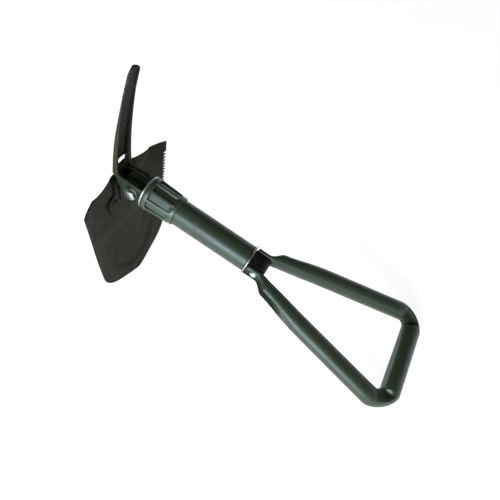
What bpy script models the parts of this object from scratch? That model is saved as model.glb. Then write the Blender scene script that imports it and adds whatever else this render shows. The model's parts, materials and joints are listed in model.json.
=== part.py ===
"""Folding camp shovel with a pick, standing on its blade tip and its grip.

Lengths are metres. Everything is first laid out in the shaft's own frame: the origin is the
middle of the end plate, +X runs along the shaft to the grip, +Y along the pivot bolt and +Z to
the side where the pick stands. One empty then tips the whole shovel onto the ground, Z = 0.
"""

import math

import bmesh
import bpy
from mathutils import Matrix, Vector

# Clearances
GAP = 0.0003               # between faces that touch on the real shovel
RUN_GAP = 0.0005           # beside a piece that swings past

# Shaft
TUBE_DIA = 0.032
TUBE_WALL = 0.0012
PLATE_DIA = 0.038
PLATE_THICK = 0.0014
BOLT_REACH = 0.1533        # end plate to pivot bolt, along the shaft

# Head of the shaft: flat tongue, its stem and the threaded barrel round the stem
TONGUE_WIDTH = 0.014
TONGUE_HEIGHT = 0.014
TONGUE_NOSE = 0.016        # bolt to the rounded nose
STEM_DIA = 0.020
BARREL_DIA = 0.0312
BARREL_START = 0.0193      # bolt to the barrel's front face
BARREL_LENGTH = 0.025      # its threaded part, up to the tube
SPIGOT_LENGTH = 0.014
PIN_DIA = 0.005

# Pivot bolt, nut and washers
BOLT_DIA = 0.008
HEX_FLATS = 0.013
HEAD_THICK = 0.0053
NUT_THICK = 0.0036
BOLT_STICKOUT = 0.0006
WASHER_DIA = 0.0148
WASHER_THICK = 0.0014
SHIM_DIA = 0.018
SHIM_THICK = 0.0007

# Lock collar and its thrust ring
RING_DIA = 0.0400
RING_BORE = 0.0364
RING_THICK = 0.0018
RING_SKIRT = 0.0026
RING_SKIRT_WALL = 0.0007
RING_REACH = 0.0130        # bolt to the ring's front face
COLLAR_LENGTH = 0.0402
COLLAR_BAND_DIA = 0.0406
COLLAR_BAND = 0.0062
COLLAR_FRONT_DIA = 0.0368
COLLAR_REAR_DIA = 0.0356
COLLAR_REAR_BAND = 0.0045
COLLAR_CUP = 0.0042
COLLAR_THREAD = 0.019
RIB_COUNT = 10
RIB_WIDTH = 0.0030
RIB_RISE_FRONT = 0.0016
RIB_RISE_REAR = 0.0008

# Sheet steel
SHEET = 0.002              # pick
BLADE_SHEET = 0.0016
BRACKET_SHEET = 0.0018

# Blade, measured along it (u) from the bolt to the tip and across it (y)
BLADE_ANGLE = 82.0         # degrees between the shaft and the blade as it stands
BLADE_OFFSET = 0.0230      # bolt axis to the hollow face
TOP_NECK = -0.0135
TOP_KNEE = -0.0062
KNEE_HALF = 0.050
TOP_SHOULDER = -0.0035
SHOULDER_HALF = 0.0732
CORNER_REACH = 0.176
CORNER_HALF = 0.068
CORNER_DROP = 0.023        # how far the round side corner cuts back
CORNER_SHARE = 0.6         # share of the half width where it begins
TIP_REACH = 0.2115
TIP_POWER = 1.25
SHOULDER_CURL = 0.0095
CORNER_CURL = 0.0035
FLAT_HALF = 0.033
TIP_CURL = 0.0075
TIP_CURL_START = 0.060
NECK_LEAN = 0.0026
CREASE_REACH = 0.014
PAN_DEPTH = 0.0022
PAN_HALF = 0.056           # half width of the sunk pan
PAN_BULGE = 0.095          # where its sides begin to close
PAN_END = 0.194
PAN_RAMP = 0.008
PAN_START = 0.060
PAN_FADE = 0.036
BLADE_ROWS = 25
BLADE_COLUMNS = 24
NOTCH_REACH = 0.0312
TOOTH_START = 0.0125
TOOTH_PITCH = 0.0056
TOOTH_COUNT = 19
TOOTH_DIA = 0.0048
TOOTH_DEPTH = 0.0029

# Blade bracket
BRACKET_HALF = 0.0315
BRACKET_WIDEST = 0.027
BRACKET_TOP = 0.0112
BRACKET_FOOT = 0.063
BRACKET_EAR = 0.0127       # half width of an ear, and its round end
BRACKET_TAB = 0.0250       # bolt to the top of the middle strip, under the pick's arch
BRACKET_SHOULDER = -0.0030  # top of the short shoulders beside the pick's ears
BRACKET_SHOULDER_HALF = 0.0160
RIVET_DIA = 0.005
RIVET_HEAD_DIA = 0.0086
RIVET_HEAD = 0.0021
RIVET_REACH = 0.0277
RIVET_HALF = 0.0211

# Pick
PICK_TOP = 0.1565
PICK_BACK = 0.0285         # bolt axis to the back of the pick at its root
PICK_TIP_BACK = 0.0162     # the same at the tip, which leans to the shaft
PICK_LEAN_START = 0.030
PICK_ROOT_HALF = 0.0126
PICK_TIP_HALF = 0.0078
PICK_BEND = 0.0026         # bend of the sheet at the root
PICK_BEND_START = 0.060    # from here the bends open out
PICK_BEND_END = 0.138      # until here the section is one round gutter
PICK_LIP = 0.0079          # depth of the channel at the root
PICK_TIP_LIP = 0.0031
PICK_LIP_FADE = 0.125
PICK_FOOT = 0.012          # where the channel starts above the bolt
PICK_WEB = 0.0275          # top of the arch under the back, above the bolt
PICK_ARCH = 0.0034         # rise of that arch
PICK_ROWS = 15
EAR_TOP = 0.0123
EAR_TAIL = 0.0132
EAR_HEEL = 0.0157          # height of the ear where it meets the channel

# Grip: one bent tube in a triangle, its ends pressed into channels
GRIP_DIA = 0.0220
GRIP_WALL = 0.0011
GRIP_REACH = 0.2083        # end plate to the middle of the cross bar
GRIP_HALF = 0.0627         # half the width between the corners of the middle line
GRIP_BEND = 0.0165
GRIP_SQUASH = 0.38         # flattening of the tube's outer side in the corner bends
LEG_START = 0.0325         # where the legs are straight
LEG_START_HALF = 0.0230
HINGE_REACH = 0.0126       # end plate to the hinge rivet
HINGE_CLEAR = 0.0117       # hinge rivet to the round end of a leg
GRIP_TONGUE_WIDTH = 0.0176
GRIP_TONGUE_HEIGHT = 0.0160
GRIP_TONGUE_END = 0.0232
GRIP_STEM_LENGTH = 0.030
LEG_WASHER_DIA = 0.015
LEG_WASHER_THICK = 0.0008
CHANNEL_DEPTH = 0.0064
CHANNEL_HEIGHT = 0.0172
CHANNEL_FLOOR = 0.0030
CHANNEL_END = 0.0168       # where the pressed end begins to swell
SWELL_END = 0.086          # where it has the full section
SWELL_FIRST = 0.70         # share of the swelling done in the short S-bend
GROOVE_END = 0.080
HINGE_RIVET_DIA = 0.006
HINGE_HEAD_DIA = 0.0092
HINGE_HEAD = 0.0036

# Facets
ROUND_STEPS = 40
SMALL_STEPS = 16
TOOTH_STEPS = 12
SECTION_STEPS = 18

# Places worked out from the sizes above
BOLT_X = -BOLT_REACH
TUBE_R = TUBE_DIA / 2
TUBE_BORE_R = TUBE_R - TUBE_WALL
BARREL_STEP = BARREL_START + BARREL_LENGTH
STEM_LENGTH = BARREL_LENGTH + SPIGOT_LENGTH / 2 - PIN_DIA
TUBE_FRONT = BOLT_X + BARREL_STEP + GAP
TUBE_REAR = -PLATE_THICK / 2 - GAP
BRACKET_IN = TONGUE_WIDTH / 2 + GAP
BRACKET_OUT = BRACKET_IN + BRACKET_SHEET
PICK_IN = BRACKET_OUT + GAP + SHIM_THICK + GAP
PICK_OUT = PICK_IN + SHEET
HEAD_SEAT = PICK_OUT + GAP + WASHER_THICK + GAP
LEG_IN = GRIP_TONGUE_WIDTH / 2 + GAP + LEG_WASHER_THICK + GAP
LEG_OUT = LEG_IN + CHANNEL_DEPTH
BRACKET_FACE = BLADE_OFFSET - GAP - BRACKET_SHEET
NOTCH_HALF = PICK_OUT + RUN_GAP
SLIT_IN = PICK_IN - RUN_GAP

PAINT = ((0.045, 0.052, 0.028), 0.42, 0.0)
ZINC = ((0.62, 0.64, 0.66), 0.34, 1.0)
DARK_STEEL = ((0.030, 0.030, 0.032), 0.45, 0.6)


def clear_scene():
    """Start from an empty scene."""
    for old in list(bpy.data.objects):
        bpy.data.objects.remove(old, do_unlink=True)


def finish_material(name, finish):
    """A Principled material for one piece."""
    colour, roughness, metallic = finish
    material = bpy.data.materials.new(name)
    material.use_nodes = True
    shader = material.node_tree.nodes["Principled BSDF"]
    shader.inputs["Base Color"].default_value = (*colour, 1.0)
    shader.inputs["Roughness"].default_value = roughness
    shader.inputs["Metallic"].default_value = metallic
    return material


def place_empty(name, parent=None, location=(0.0, 0.0, 0.0), turn=0.0):
    """An empty turned about Y, for pieces that share a joint."""
    empty = bpy.data.objects.new(name, None)
    bpy.context.scene.collection.objects.link(empty)
    empty.parent = parent
    empty.location = location
    empty.rotation_euler = (0.0, turn, 0.0)
    return empty


def add_object(name, bm, parent, finish=None):
    """Turn a bmesh into an object; one without a finish is a hidden cutter."""
    bmesh.ops.remove_doubles(bm, verts=bm.verts, dist=1e-7)
    bmesh.ops.recalc_face_normals(bm, faces=bm.faces)
    mesh = bpy.data.meshes.new(name)
    bm.to_mesh(mesh)
    bm.free()
    mesh.shade_smooth()
    mesh.set_sharp_from_angle(angle=math.radians(35.0))
    piece = bpy.data.objects.new(name, mesh)
    bpy.context.scene.collection.objects.link(piece)
    piece.parent = parent
    if finish is None:
        piece.hide_render = True
        piece.display_type = "WIRE"
    else:
        mesh.materials.append(finish_material(name, finish))
    return piece


def combine(piece, operation, tool):
    """A live Boolean on a piece."""
    step = piece.modifiers.new(tool.name, "BOOLEAN")
    step.operation = operation
    step.solver = "EXACT"
    step.object = tool


def smooth_step(value):
    """0 below 0, 1 above 1, smooth between."""
    value = min(1.0, max(0.0, value))
    return value * value * (3.0 - 2.0 * value)


def mix(start, end, share):
    """Straight blend of two numbers."""
    return start + (end - start) * share


def arc(centre, radius, first, last, count):
    """Points on an arc, angles in degrees."""
    points = []
    for i in range(count + 1):
        angle = math.radians(mix(first, last, i / count))
        points.append((centre[0] + radius * math.cos(angle), centre[1] + radius * math.sin(angle)))
    return points


def turned(profile, steps, matrix=Matrix(), bm=None):
    """Spin a closed (x, radius) outline about X; points of radius 0 close on the axis."""
    bm = bm or bmesh.new()
    verts = [bm.verts.new((x, 0.0, r)) for x, r in profile]
    edges = []
    for i, (_, radius) in enumerate(profile):
        following = (i + 1) % len(profile)
        if radius > 0.0 or profile[following][1] > 0.0:
            edges.append(bm.edges.new((verts[i], verts[following])))
    before = set(bm.verts) - set(verts)
    bmesh.ops.spin(bm, geom=verts + edges, cent=(0, 0, 0), axis=(1, 0, 0),
                   angle=math.tau, steps=steps, use_merge=True)
    made = [v for v in bm.verts if v not in before]
    bmesh.ops.transform(bm, matrix=matrix, verts=made)
    return bm


def prism(outline, near, far, matrix=Matrix(), bm=None):
    """A flat (x, z) outline pulled along Y from near to far."""
    bm = bm or bmesh.new()
    face = bm.faces.new([bm.verts.new((x, near, z)) for x, z in outline])
    pulled = bmesh.ops.extrude_face_region(bm, geom=[face])
    tops = [item for item in pulled["geom"] if isinstance(item, bmesh.types.BMVert)]
    bmesh.ops.translate(bm, vec=(0.0, far - near, 0.0), verts=tops)
    made = list(face.verts) + tops
    bmesh.ops.transform(bm, matrix=matrix, verts=made)
    return bm


def loft(rings, bm=None):
    """Skin rings of equal count; the first and last rings stay open."""
    bm = bm or bmesh.new()
    rows = [[bm.verts.new(point) for point in ring] for ring in rings]
    for lower, upper in zip(rows, rows[1:]):
        for i in range(len(lower)):
            j = (i + 1) % len(lower)
            bm.faces.new((lower[i], lower[j], upper[j], upper[i]))
    return bm, rows


def along_y(x, y, z):
    """Matrix that lays the turning axis X along +Y at a place."""
    return Matrix.Translation((x, y, z)) @ Matrix.Rotation(math.pi / 2, 4, "Z")


def hex_outline(flats):
    """Six corners of a hexagon."""
    return [(flats / math.sqrt(3.0) * math.cos(math.radians(a)),
             flats / math.sqrt(3.0) * math.sin(math.radians(a))) for a in range(0, 360, 60)]


def washer_pair(names, frame, outer, bore, thick, seat):
    """Two equal flat washers on the Y axis, each standing off the middle by seat."""
    profile = [(seat, outer / 2), (seat + thick, outer / 2), (seat + thick, bore / 2), (seat, bore / 2)]
    for name, turn in zip(names, (-math.pi / 2, math.pi / 2)):
        bm = turned(profile, SMALL_STEPS, Matrix.Rotation(turn, 4, "Z"))
        add_object(name, bm, frame, ZINC)


def bolt_hole(name, parent, diameter=BOLT_DIA + 2 * GAP):
    """A cutter across the shovel on the pivot."""
    span = 2 * HEAD_SEAT
    profile = [(-span, 0.0), (-span, diameter / 2), (span, diameter / 2), (span, 0.0)]
    return add_object(name, turned(profile, SMALL_STEPS, along_y(0.0, 0.0, 0.0)), parent)


def dome(radius, height, base, count=3):
    """Outline of a round rivet head standing on the axis from base outward."""
    points = []
    for i in range(count + 1):
        angle = math.pi / 2 * i / count
        points.append((base + height * math.sin(angle), radius * math.cos(angle)))
    points[-1] = (base + height, 0.0)
    return points


# The shaft


def build_shaft(frame):
    """Tube, end plate, and the head that carries the pivot."""
    profile = [(TUBE_FRONT, TUBE_R), (TUBE_REAR, TUBE_R),
               (TUBE_REAR, TUBE_BORE_R), (TUBE_FRONT, TUBE_BORE_R)]
    tube = add_object("shaft_tube", turned(profile, ROUND_STEPS), frame, PAINT)

    half = PLATE_THICK / 2
    hole = GRIP_TONGUE_WIDTH / 2 + GAP
    profile = [(-half, PLATE_DIA / 2), (half, PLATE_DIA / 2), (half, hole), (-half, hole)]
    add_object("end_plate", turned(profile, ROUND_STEPS), frame, ZINC)

    head = place_empty("head_frame", frame, (BOLT_X, 0.0, 0.0))
    tongue = build_head_tongue(head)
    barrel = build_barrel(head, tube)
    pin_x = BARREL_START + STEM_LENGTH / 3
    reach = BARREL_DIA / 2 - GAP
    cross_pin("barrel_pin", head, pin_x, reach, (tongue, barrel))
    spigot_x = BARREL_STEP + SPIGOT_LENGTH / 2
    cross_pin("shaft_pin", head, spigot_x, TUBE_R - GAP, (barrel, tube))
    return head


def build_head_tongue(head):
    """Flat tongue with a rounded nose; its round stem goes back into the barrel."""
    half = TONGUE_HEIGHT / 2
    tilt = math.degrees(math.asin(half / TONGUE_NOSE))
    nose = arc((0.0, 0.0), TONGUE_NOSE, 180 - tilt, 180 + tilt, 6)
    outline = [(BARREL_START - GAP, half)] + nose + [(BARREL_START - GAP, -half)]
    bm = prism(outline, -TONGUE_WIDTH / 2, TONGUE_WIDTH / 2)
    tongue = add_object("head_tongue", bm, head, DARK_STEEL)
    end = BARREL_START + STEM_LENGTH
    start = BARREL_START - TONGUE_HEIGHT / 2
    profile = [(start, 0.0), (start, TONGUE_HEIGHT / 2 - GAP),
               (BARREL_START - 2 * GAP, TONGUE_HEIGHT / 2 - GAP),
               (BARREL_START - 2 * GAP, STEM_DIA / 2), (end, STEM_DIA / 2), (end, 0.0)]
    stem = add_object("tongue_stem", turned(profile, SMALL_STEPS), head)
    combine(tongue, "UNION", stem)
    combine(tongue, "DIFFERENCE", bolt_hole("tongue_hole", head))
    return tongue


def build_barrel(head, tube):
    """Threaded barrel under the collar, with a spigot that plugs into the tube."""
    step = BARREL_STEP
    end = step + SPIGOT_LENGTH
    outer = BARREL_DIA / 2
    spigot = TUBE_BORE_R - GAP
    bore = STEM_DIA / 2 + GAP
    profile = [(BARREL_START, outer), (step, outer), (step, spigot), (end, spigot),
               (end, bore), (BARREL_START, bore)]
    return add_object("threaded_barrel", turned(profile, 2 * SMALL_STEPS), head, DARK_STEEL)


def cross_pin(name, head, x, reach, drilled):
    """A pin along Z through nested pieces, each drilled with clearance."""
    upright = Matrix.Translation((x, 0.0, 0.0)) @ Matrix.Rotation(-math.pi / 2, 4, "Y")
    radius = PIN_DIA / 2
    profile = [(-reach, 0.0), (-reach, radius), (reach, radius), (reach, 0.0)]
    add_object(name, turned(profile, SMALL_STEPS, upright), head, DARK_STEEL)
    span = 2 * TUBE_R
    bore = radius + GAP
    profile = [(-span, 0.0), (-span, bore), (span, bore), (span, 0.0)]
    drill = add_object(name + "_drill", turned(profile, SMALL_STEPS, upright), head)
    for piece in drilled:
        combine(piece, "DIFFERENCE", drill)


def build_pivot(head):
    """Bolt, nut, washers under both, and thin shims between the swinging ears."""
    radius = BOLT_DIA / 2
    nut_face = HEAD_SEAT + NUT_THICK
    bolt = add_object("pivot_bolt", hex_block(HEX_FLATS, -HEAD_SEAT - HEAD_THICK, -HEAD_SEAT), head, ZINC)
    end = nut_face + BOLT_STICKOUT
    chamfer = radius / 4
    start = -HEAD_SEAT - HEAD_THICK / 2
    profile = [(start, 0.0), (start, radius), (end - chamfer, radius),
               (end, radius - chamfer), (end, 0.0)]
    shank = add_object("bolt_shank", turned(profile, SMALL_STEPS, along_y(0.0, 0.0, 0.0)), head)
    combine(bolt, "UNION", shank)

    nut = add_object("pivot_nut", hex_block(HEX_FLATS, HEAD_SEAT, nut_face), head, ZINC)
    combine(nut, "DIFFERENCE", bolt_hole("nut_hole", head))

    bore = BOLT_DIA + 2 * GAP
    washer_pair(("bolt_washer", "nut_washer"), head, WASHER_DIA, bore, WASHER_THICK, PICK_OUT + GAP)
    shims = ("spacer_washer_near", "spacer_washer_far")
    washer_pair(shims, head, SHIM_DIA, bore, SHIM_THICK, BRACKET_OUT + GAP)


def hex_block(flats, near, far):
    """A hexagonal block whose corners are turned off at both faces."""
    bm = prism(hex_outline(flats), near, far)
    rims = [edge for edge in bm.edges if abs(edge.verts[0].co.y - edge.verts[1].co.y) < 1e-9]
    bmesh.ops.bevel(bm, geom=rims, offset=flats / 22, segments=1, affect="EDGES")
    return bm


# Lock collar


def collar_outer(x):
    """Radius of the collar between its ribs, from its own front face."""
    run = COLLAR_LENGTH - COLLAR_BAND - COLLAR_REAR_BAND
    share = (x - COLLAR_BAND) / run
    return mix(COLLAR_FRONT_DIA, COLLAR_REAR_DIA, share) / 2


def build_collar(head):
    """Ribbed collar that screws along the barrel, behind its bright thrust ring."""
    axis = place_empty("collar_axis", head, (RING_REACH, 0.0, 0.0))
    bore = RING_BORE / 2
    skirt = bore + RING_SKIRT_WALL
    end = RING_THICK + RING_SKIRT
    profile = [(0.0, bore), (0.0, RING_DIA / 2), (RING_THICK, RING_DIA / 2), (RING_THICK, skirt),
               (end, skirt), (end, bore)]
    add_object("thrust_ring", turned(profile, ROUND_STEPS), axis, ZINC)

    start = RING_THICK + GAP
    rear = start + COLLAR_LENGTH
    band = start + COLLAR_BAND
    cup = end + GAP
    floor = cup + COLLAR_CUP - RING_SKIRT
    thread_end = floor + COLLAR_THREAD
    band_r = COLLAR_BAND_DIA / 2
    rear_r = COLLAR_REAR_DIA / 2
    thread_r = BARREL_DIA / 2 + GAP
    lip_r = TUBE_R + GAP
    ease = COLLAR_REAR_BAND / 6
    profile = [(start, band_r - ease), (start + ease, band_r), (band, band_r),
               (band, collar_outer(COLLAR_BAND)), (rear - COLLAR_REAR_BAND, rear_r),
               (rear - ease, rear_r), (rear, rear_r - ease), (rear, lip_r), (thread_end, lip_r),
               (thread_end, thread_r), (floor, thread_r), (floor, bore), (cup, bore),
               (cup, skirt + GAP), (start, skirt + GAP)]
    collar = add_object("lock_collar", turned(profile, ROUND_STEPS), axis, PAINT)
    combine(collar, "UNION", add_object("collar_ribs", rib_bodies(start), axis))


def rib_bodies(start):
    """Ribs that fall from the front band to the rear band, each with a sloped rear end."""
    bm = bmesh.new()
    front = start + COLLAR_BAND - RIB_RISE_FRONT
    rear = start + COLLAR_LENGTH - COLLAR_REAR_BAND
    root = COLLAR_REAR_DIA / 2 - RIB_RISE_REAR
    top_front = COLLAR_FRONT_DIA / 2 + RIB_RISE_FRONT
    top_rear = COLLAR_REAR_DIA / 2 + RIB_RISE_REAR
    outline = [(front, root), (rear, root), (rear - RIB_WIDTH, top_rear), (front, top_front)]
    for i in range(RIB_COUNT):
        turn = Matrix.Rotation(math.tau * (i + 0.5) / RIB_COUNT, 4, "X")
        prism(outline, -RIB_WIDTH / 2, RIB_WIDTH / 2, turn, bm)
    return bm


# Blade


def top_edge(y):
    """Upper edge of the blade at a distance from its middle line."""
    if y < KNEE_HALF:
        share = max(0.0, (y - NOTCH_HALF) / (KNEE_HALF - NOTCH_HALF))
        return mix(TOP_NECK, TOP_KNEE, share)
    return mix(TOP_KNEE, TOP_SHOULDER, (y - KNEE_HALF) / (SHOULDER_HALF - KNEE_HALF))


def blade_half(u):
    """Half width of the blade between its shoulder and its side corner."""
    return mix(SHOULDER_HALF, CORNER_HALF, (u - TOP_SHOULDER) / (bottom_edge(1.0) - TOP_SHOULDER))


def bottom_edge(share):
    """Lower edge, from the tip (share 0) to the round side corner (share 1)."""
    edge = TIP_REACH - (TIP_REACH - CORNER_REACH) * share ** TIP_POWER
    turn = max(0.0, (share - CORNER_SHARE) / (1.0 - CORNER_SHARE))
    return edge - CORNER_DROP * (1.0 - math.sqrt(1.0 - turn * turn))


def pan_depth(u, y):
    """Depth of the pan, which is straight-sided above and closes in a half ellipse to the tip."""
    run = max(0.0, (u - PAN_BULGE) / (PAN_END - PAN_BULGE))
    inside = (1.0 - math.hypot(y / PAN_HALF, run)) * PAN_HALF
    return PAN_DEPTH * smooth_step(inside / PAN_RAMP) * smooth_step((u - PAN_START) / PAN_FADE)


def hollow_face(u, y):
    """Distance of the hollow face behind the bolt axis: curled sides, bent neck, sunk pan."""
    side = abs(y)
    offset = BLADE_OFFSET
    reach = max(0.0, (side - FLAT_HALF) / (SHOULDER_HALF - FLAT_HALF))
    curl = mix(SHOULDER_CURL, CORNER_CURL, smooth_step(u / CORNER_REACH))
    offset -= curl * reach ** 2.0
    if u > TIP_CURL_START:
        offset -= TIP_CURL * ((u - TIP_CURL_START) / (TIP_REACH - TIP_CURL_START)) ** 2
    crease = mix(TOP_KNEE, CREASE_REACH, min(1.0, max(0.0, (KNEE_HALF - side) / CREASE_REACH)))
    outside_notch = smooth_step((side - BRACKET_SHOULDER_HALF - BLADE_SHEET) / NOTCH_HALF)
    offset -= NECK_LEAN * max(0.0, crease - u) / CREASE_REACH * outside_notch
    return offset + pan_depth(u, y)


def build_blade(axis):
    """Dished blade with a toothed edge, slotted at the neck so that the pick's ears swing through."""
    bm = bmesh.new()
    grid = []
    for row in range(BLADE_ROWS + 1):
        share = row / BLADE_ROWS
        half = blade_half(mix(TOP_SHOULDER, bottom_edge(1.0), share))
        line = []
        for column in range(BLADE_COLUMNS + 1):
            even = 2.0 * column / BLADE_COLUMNS - 1.0
            across = math.copysign(1.0 - (1.0 - abs(even)) ** 1.4, even)
            u = mix(top_edge(abs(across) * SHOULDER_HALF), bottom_edge(abs(across)), share)
            y = across * half
            line.append(bm.verts.new((u, y, -hollow_face(u, y))))
        grid.append(line)
    for upper, lower in zip(grid, grid[1:]):
        for i in range(BLADE_COLUMNS):
            bm.faces.new((upper[i], upper[i + 1], lower[i + 1], lower[i]))
    blade = add_object("shovel_blade", bm, axis, PAINT)
    face_towards_shaft(blade)
    sheet = blade.modifiers.new("sheet", "SOLIDIFY")
    sheet.thickness = BLADE_SHEET
    sheet.offset = -1.0
    combine(blade, "DIFFERENCE", add_object("neck_notch", notch_body(), axis))
    combine(blade, "DIFFERENCE", add_object("saw_teeth", tooth_bodies(), axis))
    return blade


def face_towards_shaft(blade):
    """Turn the sheet's faces to the hollow side before it is thickened."""
    mesh = blade.data
    if sum(polygon.normal.z for polygon in mesh.polygons) < 0.0:
        mesh.flip_normals()


def notch_body():
    """Two slots at the neck with round feet, one for each ear of the pick."""
    bm = bmesh.new()
    far = -2.0 * BLADE_OFFSET
    corner = (NOTCH_HALF - BRACKET_OUT) / 2
    foot = NOTCH_REACH - corner
    lay = Matrix.Rotation(math.pi / 2, 4, "X")
    for side in (-1.0, 1.0):
        near, wide = sorted((side * BRACKET_OUT, side * NOTCH_HALF))
        outline = [(far, near)] + arc((foot, (near + wide) / 2), corner, -90, 90, 6) + [(far, wide)]
        prism(outline, -2.0 * BLADE_OFFSET, 0.0, lay, bm)
    return bm


def flat_cutter(outline, low, high):
    """A (u, y) outline pulled along Z, through the blade or its bracket."""
    lay = Matrix.Rotation(math.pi / 2, 4, "X")
    return prism(outline, low, high, lay)


def tooth_bodies():
    """Round cutters in a row along the far edge, from below the shoulder."""
    bm = bmesh.new()
    upright = Matrix.Rotation(-math.pi / 2, 4, "Y")
    radius = TOOTH_DIA / 2
    profile = [(-3 * BLADE_OFFSET, 0.0), (-3 * BLADE_OFFSET, radius),
               (BLADE_OFFSET, radius), (BLADE_OFFSET, 0.0)]
    for i in range(TOOTH_COUNT):
        u = TOOTH_START + TOOTH_PITCH * (i + 0.5)
        place = Matrix.Translation((u, blade_half(u) + radius - TOOTH_DEPTH, 0.0)) @ upright
        turned(profile, TOOTH_STEPS, place, bm)
    return bm


def build_bracket(axis, blade):
    """Shield-shaped plate riveted in the blade's hollow, with two ears back to the pivot."""
    low = -BRACKET_FACE - BRACKET_SHEET
    bracket = add_object("blade_bracket", flat_cutter(shield_outline(), low, -BRACKET_FACE), axis, PAINT)
    ears = bmesh.new()
    outline = [(-BRACKET_EAR, low + GAP)] + arc((0.0, 0.0), BRACKET_EAR, 180, 0, 12)
    outline += [(BRACKET_EAR, low + GAP)]
    for side in (-1.0, 1.0):
        near, far = sorted((side * BRACKET_IN, side * BRACKET_OUT))
        prism(outline, near, far, bm=ears)
    combine(bracket, "UNION", add_object("bracket_ears", ears, axis))
    slits = bmesh.new()
    for side in (-1.0, 1.0):
        near, far = sorted((side * SLIT_IN, side * NOTCH_HALF))
        slit = [(-2 * BLADE_OFFSET, near), (NOTCH_REACH, near),
                (NOTCH_REACH, far), (-2 * BLADE_OFFSET, far)]
        lay = Matrix.Rotation(math.pi / 2, 4, "X")
        prism(slit, -2 * BLADE_OFFSET, -BRACKET_FACE / 2, lay, slits)
    combine(bracket, "DIFFERENCE", add_object("bracket_slits", slits, axis))
    combine(bracket, "DIFFERENCE", bolt_hole("bracket_hole", axis))
    rivet_blade(axis, blade, bracket)


def shield_outline():
    """Bracket plate: a middle strip to the top, short shoulders, wide lobes, and a rounded foot."""
    strip = BRACKET_OUT
    lobe_in = NOTCH_HALF + GAP
    points = [(-BRACKET_TAB, strip), (-BRACKET_TAB, -strip), (BRACKET_TOP, -strip), (BRACKET_TOP, -lobe_in)]
    points += [(BRACKET_SHOULDER, -lobe_in), (BRACKET_SHOULDER, -BRACKET_SHOULDER_HALF)]
    rise = BRACKET_WIDEST - BRACKET_TOP
    first = math.asin(BRACKET_SHOULDER_HALF / BRACKET_HALF)
    count = 7
    for i in range(1, count + 1):
        angle = mix(first, math.pi / 2, i / count)
        points.append((BRACKET_WIDEST - rise * math.cos(angle), -BRACKET_HALF * math.sin(angle)))
    drop = BRACKET_FOOT - BRACKET_WIDEST
    for i in range(1, 2 * count):
        angle = math.pi * i / (2 * count)
        points.append((BRACKET_WIDEST + drop * math.sin(angle), -BRACKET_HALF * math.cos(angle)))
    mirrored = [(u, -y) for u, y in reversed(points[2:6 + count])]
    return points + mirrored


def rivet_blade(axis, blade, bracket):
    """Two dome-headed rivets through the bracket's lobes and the blade."""
    upright = Matrix.Rotation(math.pi / 2, 4, "Y")
    front = -BRACKET_FACE + GAP
    back = -BLADE_OFFSET - BLADE_SHEET - GAP
    shank = RIVET_DIA / 2
    head = RIVET_HEAD_DIA / 2
    profile = list(reversed(dome(head, -RIVET_HEAD, -front)))
    profile += [(-front, shank), (-back, shank), (-back, head)]
    profile += dome(head, RIVET_HEAD / 2, -back)[1:]
    drills = bmesh.new()
    bore = shank + GAP
    drill = [(BRACKET_FACE / 2, 0.0), (BRACKET_FACE / 2, bore),
             (2 * BLADE_OFFSET, bore), (2 * BLADE_OFFSET, 0.0)]
    for name, side in (("bracket_rivet_near", -1.0), ("bracket_rivet_far", 1.0)):
        place = Matrix.Translation((RIVET_REACH, side * RIVET_HALF, 0.0)) @ upright
        add_object(name, turned(profile, SMALL_STEPS, place), axis, PAINT)
        turned(drill, SMALL_STEPS, place, drills)
    cutter = add_object("rivet_holes", drills, axis)
    combine(blade, "DIFFERENCE", cutter)
    combine(bracket, "DIFFERENCE", cutter)


# Pick


def pick_back(z):
    """Distance of the pick's back in front of the bolt axis at a height."""
    share = max(0.0, (z - PICK_LEAN_START) / (PICK_TOP - PICK_LEAN_START))
    return mix(PICK_BACK, PICK_TIP_BACK, share ** 1.7)


def pick_half(z):
    """Half width: a straight taper that ends in a round tip."""
    share = (z - PICK_FOOT) / (PICK_TOP - PICK_FOOT)
    half = mix(PICK_ROOT_HALF, PICK_TIP_HALF, max(0.0, share))
    round_start = PICK_TOP - PICK_TIP_HALF
    if z > round_start:
        half *= math.sqrt(max(0.06, 1.0 - ((z - round_start) / PICK_TIP_HALF) ** 2))
    return half


def pick_section(z):
    """One closed section of the channel: bends that soften from the root to the tip."""
    fade = min(1.0, max(0.0, (z - PICK_FOOT) / (PICK_LIP_FADE - PICK_FOOT)))
    lip = mix(PICK_LIP, PICK_TIP_LIP, fade)
    half = pick_half(z)
    back = -pick_back(z)
    front = back + lip
    opening = smooth_step((z - PICK_BEND_START) / (PICK_BEND_END - PICK_BEND_START))
    bend_x = mix(min(PICK_BEND, 0.8 * lip), 0.8 * lip, opening)
    bend_y = mix(PICK_BEND, 0.9 * half, opening)
    outer = channel_side(front, back, half, bend_x, bend_y)
    wall = min(SHEET, 0.45 * half)
    inner = channel_side(front, back + SHEET, half - wall, max(bend_x - SHEET, 0.2 * bend_x),
                         max(bend_y - wall, 0.3 * bend_y))
    return [(x, y, z) for x, y in outer + inner[::-1]]


def channel_side(front, back, half, bend_x, bend_y, count=4):
    """Half-open channel outline from the near lip round the back to the far lip."""
    near = [(front, -half)]
    for i in range(count + 1):
        angle = math.pi / 2 * (1.0 - i / count)
        x = back + bend_x * (1.0 - math.cos(angle))
        near.append((x, bend_y - half - bend_y * math.sin(angle)))
    far = [(x, -y) for x, y in reversed(near)]
    return near + far


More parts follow.
